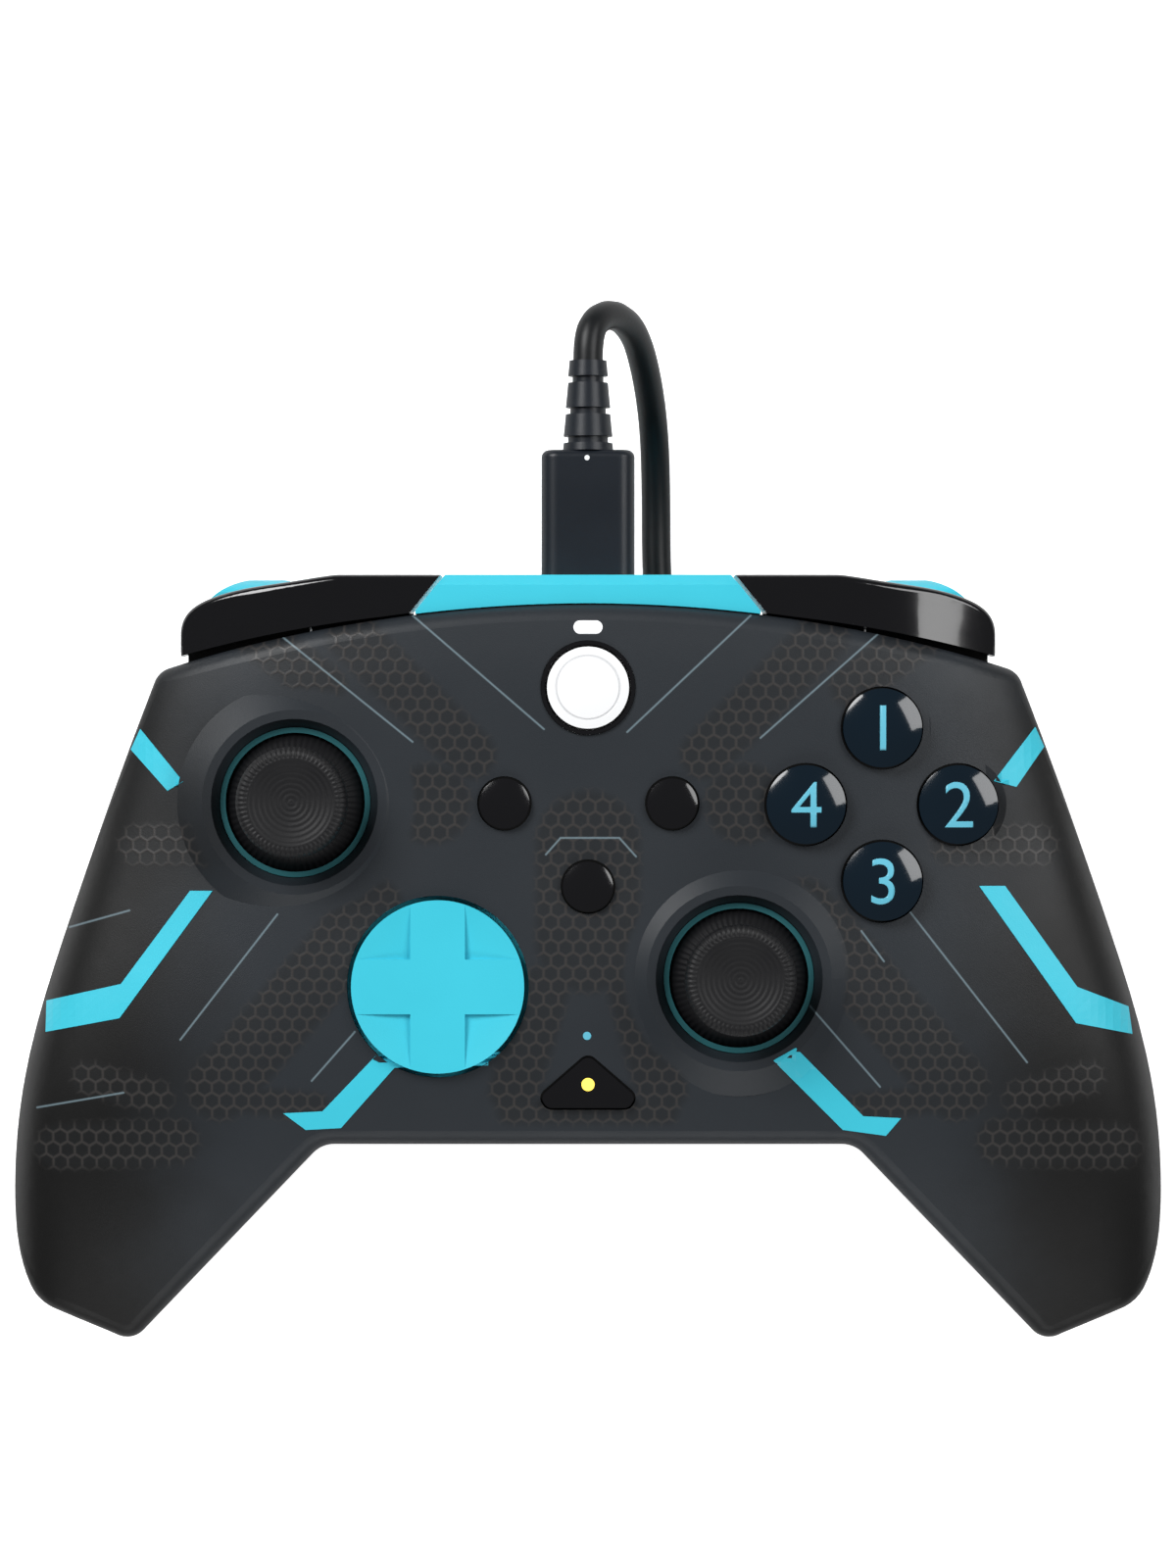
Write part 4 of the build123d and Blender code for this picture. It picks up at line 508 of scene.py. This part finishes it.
def face_plate_finish():
    """Charcoal face with printed honeycomb and thin pale lines, and painted shade that makes it near black towards
    the sides.
    """
    made, tree, shader = new_material("charcoal_face", CHARCOAL, 0.42)
    place = object_mm(tree)
    grain = use_group(tree, GRAIN, Vector=place, Grain_Size=0.16, Roughness=0.46, Spread=0.12)
    seen = place_in_photo(tree, place)
    apart = tree.nodes.new("ShaderNodeSeparateXYZ")
    tree.links.new(seen, apart.inputs[0])
    side = maths(tree, "ABSOLUTE", apart.outputs["X"])
    # Painted shade: the charcoal darkens to near black towards the sides, which turn from the light
    drift = maths(tree, "MULTIPLY", maths(tree, "SUBTRACT", grain["Shade"], NOISE_MIDDLE), SIDE_SHADE_DRIFT)
    dark = smooth_step(tree, maths(tree, "ADD", side, drift), *SIDE_SHADE_MM)
    base = mix_inputs(tree, dark, (*CHARCOAL, 1), (*PAINTED_SHADE_BLACK, 1))
    folded = tree.nodes.new("ShaderNodeCombineXYZ")
    tree.links.new(side, folded.inputs["X"])
    tree.links.new(apart.outputs["Y"], folded.inputs["Y"])
    masks = []
    for start, end, half_width in MESH_BANDS_BOTH:
        a, b = photo_mm(*start), photo_mm(*end)
        from_place, to_place = (abs(a[0]), a[1]), (abs(b[0]), b[1])
        masks.append(band_mask(tree, folded.outputs[0], from_place, to_place, half_width, BAND_SOFT))
    for start, end, half_width in MESH_BANDS_MIDDLE:
        masks.append(band_mask(tree, seen, photo_mm(*start), photo_mm(*end), half_width, BAND_SOFT))
    region = widest_mask(tree, masks)
    for centre, radius in BARE_ROUNDS:
        near = band_mask(tree, seen, photo_mm(*centre), photo_mm(centre[0] + 1, centre[1]), radius, ROUND_SOFT)
        region = maths(tree, "MULTIPLY", region, maths(tree, "SUBTRACT", 1.0, near))
    cells = use_group(tree, HEX, Vector=place, Pitch=MESH_PITCH, Wall=MESH_WALL)
    wall = maths(tree, "MULTIPLY", region, cells["Walls"])
    printed = mix_inputs(tree, maths(tree, "MULTIPLY", region, CELL_SHARE), base, (*MESH_CELL, 1))
    printed = mix_inputs(tree, maths(tree, "MULTIPLY", wall, WALL_SHARE), printed, (*MESH_BROWN, 1))
    line = widest_mask(tree, [
        band_mask(tree, seen, photo_mm(*start), photo_mm(*end), LINE_HALF_WIDTH, LINE_SOFT)
        for start, end in THIN_LINES_PX
    ])
    lined = mix_inputs(tree, maths(tree, "MULTIPLY", line, LINE_SHARE), printed, (*LINE_PALE, 1))
    tree.links.new(lined, shader.inputs["Base Color"])
    glossier = maths(tree, "MULTIPLY", wall, WALL_GLOSS)
    tree.links.new(maths(tree, "SUBTRACT", grain["Roughness"], glossier), shader.inputs["Roughness"])
    height = maths(tree, "ADD", maths(tree, "MULTIPLY", grain["Height"], 0.35), maths(tree, "MULTIPLY", wall, 0.4))
    raise_surface(tree, shader, height, 0.05)
    return made


FACE_PLATE = face_plate_finish()


def rear_finish():
    """Dark moulding with pebbled grips, painted darker as shade in the pits between the pebbles."""
    made, tree, shader = new_material("charcoal_rear", REAR_BLACK, 0.5)
    place = object_mm(tree)
    grain = use_group(tree, GRAIN, Vector=place, Grain_Size=0.3, Roughness=0.5, Spread=0.14)
    pebbles = tree.nodes.new("ShaderNodeTexVoronoi")
    pebbles.feature = "SMOOTH_F1"
    tree.links.new(place, pebbles.inputs["Vector"])
    pebbles.inputs["Scale"].default_value = 1 / PEBBLE_SIZE
    apart = tree.nodes.new("ShaderNodeSeparateXYZ")
    tree.links.new(place, apart.inputs[0])
    grip = smooth_step(tree, maths(tree, "ABSOLUTE", apart.outputs["X"]), *GRIP_FROM_MM)
    low_down = smooth_step(tree, apart.outputs["Z"], *GRIP_BELOW_MM)
    pebbled = maths(tree, "MULTIPLY", maths(tree, "MULTIPLY", grip, low_down), pebbles.outputs["Distance"])
    # Painted shade: the pits between the pebbles are darker
    tree.links.new(mix_inputs(tree, pebbled, (*REAR_BLACK, 1), (*PAINTED_SHADE_BLACK, 1)), shader.inputs["Base Color"])
    tree.links.new(grain["Roughness"], shader.inputs["Roughness"])
    height = maths(tree, "SUBTRACT", maths(tree, "MULTIPLY", grain["Height"], 0.2), pebbled)
    raise_surface(tree, shader, height, 0.15)
    return made


def stick_finish(name, node):
    """Black rubber cap: fine rings in its dish and a knurled rim, painted lighter on their ridges and darker in their
    grooves as highlight and shade.
    """
    made, tree, shader = new_material(name, RUBBER_BLACK, 0.5)
    low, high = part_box(node)
    middle = (low + high) / 2 / MM
    place = object_mm(tree, (middle.x, middle.y, 0.0))
    grain = use_group(tree, GRAIN, Vector=place, Grain_Size=0.2, Roughness=0.52, Spread=0.1)
    apart = tree.nodes.new("ShaderNodeSeparateXYZ")
    tree.links.new(place, apart.inputs[0])
    radius = vectors(tree, "LENGTH", vectors(tree, "MULTIPLY", place, (1.0, 1.0, 0.0)))
    angle = maths(tree, "ARCTAN2", apart.outputs["Y"], apart.outputs["X"])
    teeth = maths(tree, "SINE", maths(tree, "MULTIPLY", angle, KNURL_TEETH))
    rim = smooth_step(tree, radius, *RIM_FROM_MM)
    knurl = maths(tree, "MULTIPLY", rim, teeth)
    rings = maths(tree, "SINE", maths(tree, "MULTIPLY", radius, 2 * math.pi / DISH_RING_PITCH))
    dish = maths(tree, "MULTIPLY", maths(tree, "SUBTRACT", 1.0, rim), rings)
    height = maths(tree, "ADD", maths(tree, "MULTIPLY", knurl, 0.5), maths(tree, "MULTIPLY", dish, 0.25))
    # Painted highlight and shade: the colour follows the relief, lighter on ridges and darker in grooves, over the
    # grain's random tone
    shade = maths(tree, "ADD", maths(tree, "MULTIPLY", height, 0.4), grain["Shade"])
    tree.links.new(
        mix_inputs(tree, shade, (*RUBBER_BLACK, 1), (*RUBBER_PALE_TONE_AND_RIDGE_HIGHLIGHT, 1)), shader.inputs["Base Color"],
    )
    tree.links.new(grain["Roughness"], shader.inputs["Roughness"])
    raise_surface(tree, shader, maths(tree, "ADD", height, maths(tree, "MULTIPLY", grain["Height"], 0.3)), 0.08)
    return made


def guide_finish():
    """White disc with one fine moulded ring, its groove painted grey as shade."""
    made, tree, shader = new_material("white_disc", WHITE, 0.28)
    low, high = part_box("guide_button")
    middle = (low + high) / 2 / MM
    place = object_mm(tree, (middle.x, middle.y, 0.0))
    grain = use_group(tree, GRAIN, Vector=place, Grain_Size=0.6, Roughness=0.3, Spread=0.06)
    radius = vectors(tree, "LENGTH", vectors(tree, "MULTIPLY", place, (1.0, 1.0, 0.0)))
    away = maths(tree, "ABSOLUTE", maths(tree, "SUBTRACT", radius, GUIDE_GROOVE_RADIUS))
    groove = smooth_step(tree, away, 0.0, GUIDE_GROOVE_WIDTH, 1.0, 0.0)
    # Painted shade: the groove is greyed
    shade = maths(tree, "MULTIPLY", groove, 0.5)
    tree.links.new(mix_inputs(tree, shade, (*WHITE, 1), (*GROOVE_PAINTED_SHADE, 1)), shader.inputs["Base Color"])
    tree.links.new(grain["Roughness"], shader.inputs["Roughness"])
    raise_surface(tree, shader, maths(tree, "SUBTRACT", maths(tree, "MULTIPLY", grain["Height"], 0.05), groove), 0.08)
    return made


REAR_PLASTIC = rear_finish()
BLACK_GLOSS = plastic("piano_black", GLOSS_BLACK, 0.10, 2.0, 0.002, spread=0.05, coat=0.6)
CYAN_PLASTIC = plastic("cyan_satin", CYAN, 0.40, 0.22, 0.012, tint=0.05)
TEAL_RING = plastic("teal_ring", TEAL, 0.34, 0.3, 0.01)
SOFT_RUBBER = plastic("membrane_rubber", MEMBRANE_GREY, 0.6, 0.4, 0.02)
WHITE_PLASTIC = guide_finish()
INNER_PLASTIC = plastic("inner_plastic", INNER_GREY, 0.5, 0.3, 0.02)
BOARD_GREEN = plastic("board_green", BOARD_COLOUR, 0.35, 0.8, 0.02)
PLATED_STEEL = plastic("plated_steel", STEEL, 0.28, 0.5, 0.006, metallic=1.0, tint=0.05)
TURNED_BRASS = plastic("turned_brass", BRASS, 0.3, 0.5, 0.006, metallic=1.0, tint=0.05)
PLUG_PLASTIC = plastic("plug_plastic", PLUG_BLACK, 0.36, 0.25, 0.012)
CABLE_JACKET = plastic("cable_jacket", JACKET_BLACK, 0.40, 0.35, 0.015)


def trigger_finish():
    """Cyan paddle, painted black as shade where the trigger runs in under the shell."""
    made = plastic("cyan_trigger", CYAN, 0.40, 0.22, 0.012, tint=0.05)
    tree = made.node_tree
    shader = tree.nodes["Principled BSDF"]
    cyan = shader.inputs["Base Color"].links[0].from_socket
    apart = tree.nodes.new("ShaderNodeSeparateXYZ")
    tree.links.new(object_mm(tree), apart.inputs[0])
    # Painted shade: the trigger is black where it runs in under the shell
    paddle = smooth_step(tree, apart.outputs["Y"], *TRIGGER_SHADE_END_MM)
    tree.links.new(mix_inputs(tree, paddle, (*PAINTED_SHADE_BLACK, 1), cyan), shader.inputs["Base Color"])
    return made


def lamp_finish(name, colour, strength):
    made, tree, shader = new_material(name, colour, 0.3)
    place = object_mm(tree)
    grain = use_group(tree, GRAIN, Vector=place, Grain_Size=0.4, Roughness=0.3, Spread=0.1)
    tree.links.new(grain["Roughness"], shader.inputs["Roughness"])
    lit = mix_inputs(tree, grain["Shade"], (*[v * 0.8 for v in colour], 1), (*colour, 1))
    tree.links.new(lit, shader.inputs["Emission Color"])
    shader.inputs["Emission Strength"].default_value = strength
    return made


TRIGGER_CYAN = trigger_finish()
FACE_BUTTON = plastic("blue_black_gloss", FACE_BUTTON_BLACK, 0.10, 2.0, 0.002, spread=0.05, coat=0.6)
SLOT_FINISHES = {
    "shell": FACE_PLATE, "gloss_black": BLACK_GLOSS, "cyan_plastic": CYAN_PLASTIC,
    "stick_rubber": SOFT_RUBBER, "teal_ring": TEAL_RING, "white_plastic": WHITE_PLASTIC,
    "lamp_yellow": lamp_finish("yellow_lamp", LAMP_YELLOW, 1.0), "board": BOARD_GREEN,
    "inner_plastic": INNER_PLASTIC, "membrane": SOFT_RUBBER, "steel": PLATED_STEEL, "brass": TURNED_BRASS,
    "plug_plastic": PLUG_PLASTIC, "cord_jacket": CABLE_JACKET,
}
# Nodes whose finish differs from that of their slot
NODE_FINISHES = {
    "rear_shell": REAR_PLASTIC,
    "left_trigger": TRIGGER_CYAN,
    "right_trigger": TRIGGER_CYAN,
    "button_north": FACE_BUTTON,
    "button_east": FACE_BUTTON,
    "button_south": FACE_BUTTON,
    "button_west": FACE_BUTTON,
    "left_thumbstick": stick_finish("left_stick_rubber", "left_thumbstick"),
    "right_thumbstick": stick_finish("right_stick_rubber", "right_thumbstick"),
    "status_light": lamp_finish("white_lamp", LAMP_WHITE, 0.5),
}


def set_finish(piece, finish):
    piece.data.materials.clear()
    piece.data.materials.append(finish)


for entry in frame["record"]["subparts"]:
    set_finish(nodes[entry["node"]], NODE_FINISHES.get(entry["node"], SLOT_FINISHES[entry["material_slot"]]))
set_finish(cable, CABLE_JACKET)


# Pieces that lie on the face

def surface_of(*names):
    """Search tree over the faces of these nodes."""
    joined = bmesh.new()
    for name in names:
        joined.from_mesh(nodes[name].data)
    found = BVHTree.FromBMesh(joined)
    joined.free()
    return found


def seen_on(found, x, y, rise_mm):
    """Point just above the surface where the camera sees this place, or None. All in metres but the rise."""
    eye = Vector((CAMERA_X * MM, CAMERA_Y * MM, CAMERA_Z))
    point, normal, _, _ = found.ray_cast(eye, (Vector((x, y, OUTLINE_Z)) - eye).normalized())
    return None if point is None else point + normal * rise_mm * MM


def finish_mesh(bm, name, finish, body):
    mesh = bpy.data.meshes.new(name)
    bm.to_mesh(mesh)
    bm.free()
    made = bpy.data.objects.new(name, mesh)
    bpy.context.collection.objects.link(made)
    set_finish(made, finish)
    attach(made, body)
    return made


def cut_into_grid(bm, step_mm):
    """Cuts a flat mesh along lines of X and Y, so that it can follow a curved surface."""
    for axis, normal in ((0, Vector((1, 0, 0))), (1, Vector((0, 1, 0)))):
        low = min(v.co[axis] for v in bm.verts)
        high = max(v.co[axis] for v in bm.verts)
        for n in range(1, int((high - low) / (step_mm * MM)) + 1):
            everything = bm.verts[:] + bm.edges[:] + bm.faces[:]
            bmesh.ops.bisect_plane(
                bm, geom=everything, plane_co=normal * (low + n * step_mm * MM), plane_no=normal,
            )


STRIP_GRID = 1.0
STRIP_RISE = 0.10
STRIP_DEPTH = 0.35
STRIP_EDGE = 0.06
STRIPS_PX = {
    "left_upper_strip": [(143.5, 744), (134, 765), (171, 807), (187, 797.5)],
    "right_upper_strip": [(1056, 742), (1065, 762), (1037, 803), (1014, 797)],
    "left_angled_strip": [(194, 909), (217, 909), (122, 1039), (47, 1053), (48, 1021), (123.5, 1004)],
    "right_angled_strip": [(999, 904), (1025.5, 904), (1099, 1007), (1151, 1027), (1155, 1055), (1098, 1044)],
    "pad_tail_strip": [(386.5, 1074), (407.5, 1084), (348, 1151), (312, 1153), (289, 1136), (329, 1134)],
    "stick_tail_strip": [(789, 1082), (812, 1069), (881, 1139), (919.5, 1141), (904, 1159), (860, 1153)],
}


def lay_on(bm, found, rise_mm, depth_mm):
    """Lays a flat mesh on a surface where the camera sees it, a little above, and lets it into the surface."""
    for vert in bm.verts:
        laid = seen_on(found, vert.co.x, vert.co.y, rise_mm)
        while laid is None:
            vert.co.x -= math.copysign(0.1 * MM, vert.co.x)
            laid = seen_on(found, vert.co.x, vert.co.y, rise_mm)
        vert.co = laid
    bmesh.ops.recalc_face_normals(bm, faces=bm.faces[:])
    grown = bmesh.ops.extrude_face_region(bm, geom=bm.faces[:])
    for vert in grown["geom"]:
        if isinstance(vert, bmesh.types.BMVert):
            point, normal, _, _ = found.find_nearest(vert.co)
            vert.co = point - normal * depth_mm * MM
    bmesh.ops.recalc_face_normals(bm, faces=bm.faces[:])


def make_strip(name, outline, found):
    """Coloured inlay cut from a flat outline and laid on the face."""
    bm = bmesh.new()
    corners = [bm.verts.new((*[v * MM for v in photo_mm(*corner)], 0)) for corner in outline]
    bm.faces.new(corners)
    cut_into_grid(bm, STRIP_GRID)
    lay_on(bm, found, STRIP_RISE, STRIP_DEPTH)
    made = finish_mesh(bm, name, CYAN_PLASTIC, "pad")
    rounded = made.modifiers.new("rounded_edge", "BEVEL")
    rounded.width = STRIP_EDGE * MM
    rounded.segments = 2
    rounded.limit_method = "ANGLE"
    rounded.angle_limit = math.radians(50)
    return made


face_surface = surface_of("front_shell")
for strip_name, strip_outline in STRIPS_PX.items():
    make_strip(strip_name, strip_outline, face_surface)

# Numerals on the face buttons
NUMERAL_HEIGHT = 6.4
NUMERAL_RISE = 0.06
NUMERAL_DEPTH = 0.15
NUMERAL_GRID = 0.4
NUMERAL_THINNING = -0.02
# Figure of each button's body
NUMERALS = {"north": "1", "east": "2", "south": "3", "west": "4"}
# Height of this font's figures, as a share of its size
FIGURE_SHARE = 0.72


def make_numeral(body, digit):
    """Flat figure laid on the crown of a face button."""
    button = "button_" + body
    low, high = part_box(button)
    crown = Vector(((low.x + high.x) / 2, (low.y + high.y) / 2, high.z))
    eye = Vector((CAMERA_X * MM, CAMERA_Y * MM, CAMERA_Z))
    centre = eye + (crown - eye) * CAMERA_DISTANCE / (CAMERA_Z - crown.z)
    text = bpy.data.curves.new(button + "_numeral", "FONT")
    text.body = digit
    text.size = NUMERAL_HEIGHT * MM / FIGURE_SHARE
    text.resolution_u = 6
    text.offset = NUMERAL_THINNING * MM
    holder = bpy.data.objects.new(button + "_numeral_text", text)
    bpy.context.collection.objects.link(holder)
    bpy.context.view_layer.update()
    flat = bpy.data.meshes.new_from_object(holder.evaluated_get(bpy.context.evaluated_depsgraph_get()))
    bpy.data.objects.remove(holder)
    bm = bmesh.new()
    bm.from_mesh(flat)
    bmesh.ops.remove_doubles(bm, verts=bm.verts[:], dist=0.01 * MM)
    width = [v.co.x for v in bm.verts]
    tall = [v.co.y for v in bm.verts]
    shift = Vector((centre.x - (min(width) + max(width)) / 2, centre.y - (min(tall) + max(tall)) / 2, 0))
    bmesh.ops.translate(bm, verts=bm.verts[:], vec=shift)
    cut_into_grid(bm, NUMERAL_GRID)
    lay_on(bm, surface_of(button), NUMERAL_RISE, NUMERAL_DEPTH)
    return finish_mesh(bm, button + "_numeral", GLYPH, body)


GLYPH = plastic("glyph_blue", GLYPH_BLUE, 0.3, 0.3, 0.004, tint=0.08)
for button_body, figure in NUMERALS.items():
    make_numeral(button_body, figure)


# Dots in the place of the small icons, each with its place in the photograph and its radius

DOT_SIDES = 32


def make_dot(name, node, px, py, radius_mm, finish):
    """Thin round printed on a node where the camera sees this pixel."""
    bm = bmesh.new()
    bmesh.ops.create_circle(bm, cap_ends=True, segments=DOT_SIDES, radius=radius_mm * MM)
    x, y = photo_mm(px, py)
    bmesh.ops.translate(bm, verts=bm.verts[:], vec=(x * MM, y * MM, 0))
    lay_on(bm, surface_of(node), NUMERAL_RISE, NUMERAL_DEPTH)
    return finish_mesh(bm, name, finish, "pad")


make_dot("function_mark", "front_shell", 599, 1057, 0.55, GLYPH)
make_dot("plug_mark", "usb_plug", 599, 467, 0.35, WHITE_PLASTIC)


# Floor, lights and world. Sizes are in metres, and the floor glows for the camera alone.

FLOOR_HALF = 2.5
FLOOR_Z = -0.0002
FLOOR_GLOW = 0.8
WORLD_STRENGTH = 0.15
LAMP_AIM = (0, 0, 0.03)
LAMPS = {
    "key": ((-0.55, 0.55, 0.75), (0.5, 0.5), 10),
    "fill": ((0.60, 0.30, 0.70), (0.5, 0.5), 4.5),
    "front": ((0.0, -0.8, 0.55), (0.8, 0.4), 3),
}


def make_floor():
    bm = bmesh.new()
    bmesh.ops.create_grid(bm, x_segments=1, y_segments=1, size=FLOOR_HALF)
    bmesh.ops.translate(bm, verts=bm.verts[:], vec=(0, 0, FLOOR_Z))
    mesh = bpy.data.meshes.new("floor")
    bm.to_mesh(mesh)
    bm.free()
    made = bpy.data.objects.new("floor", mesh)
    bpy.context.collection.objects.link(made)
    finish, tree, shader = new_material("pale_floor", FLOOR_PALE, 0.7)
    path = tree.nodes.new("ShaderNodeLightPath")
    glow = tree.nodes.new("ShaderNodeEmission")
    glow.inputs["Strength"].default_value = FLOOR_GLOW
    added = tree.nodes.new("ShaderNodeAddShader")
    chosen = tree.nodes.new("ShaderNodeMixShader")
    out = tree.nodes["Material Output"]
    tree.links.new(shader.outputs[0], added.inputs[0])
    tree.links.new(glow.outputs[0], added.inputs[1])
    tree.links.new(path.outputs["Is Camera Ray"], chosen.inputs[0])
    tree.links.new(shader.outputs[0], chosen.inputs[1])
    tree.links.new(added.outputs[0], chosen.inputs[2])
    tree.links.new(chosen.outputs[0], out.inputs["Surface"])
    made.data.materials.append(finish)


def make_light(name, place, size, power):
    lamp = bpy.data.lights.new(name, "AREA")
    lamp.shape = "RECTANGLE"
    lamp.size, lamp.size_y = size
    lamp.energy = power
    made = bpy.data.objects.new(name, lamp)
    made.location = place
    made.rotation_mode = "QUATERNION"
    made.rotation_quaternion = (Vector(LAMP_AIM) - Vector(place)).to_track_quat("-Z", "Y")
    bpy.context.collection.objects.link(made)


def make_world():
    world = bpy.data.worlds.new("studio")
    world.use_nodes = True
    world.node_tree.nodes["Background"].inputs["Color"].default_value = (1, 1, 1, 1)
    world.node_tree.nodes["Background"].inputs["Strength"].default_value = WORLD_STRENGTH
    bpy.context.scene.world = world


make_floor()
make_world()
for lamp_name, (lamp_place, lamp_size, lamp_power) in LAMPS.items():
    make_light(lamp_name, lamp_place, lamp_size, lamp_power)
bpy.context.scene.view_settings.view_transform = "Standard"
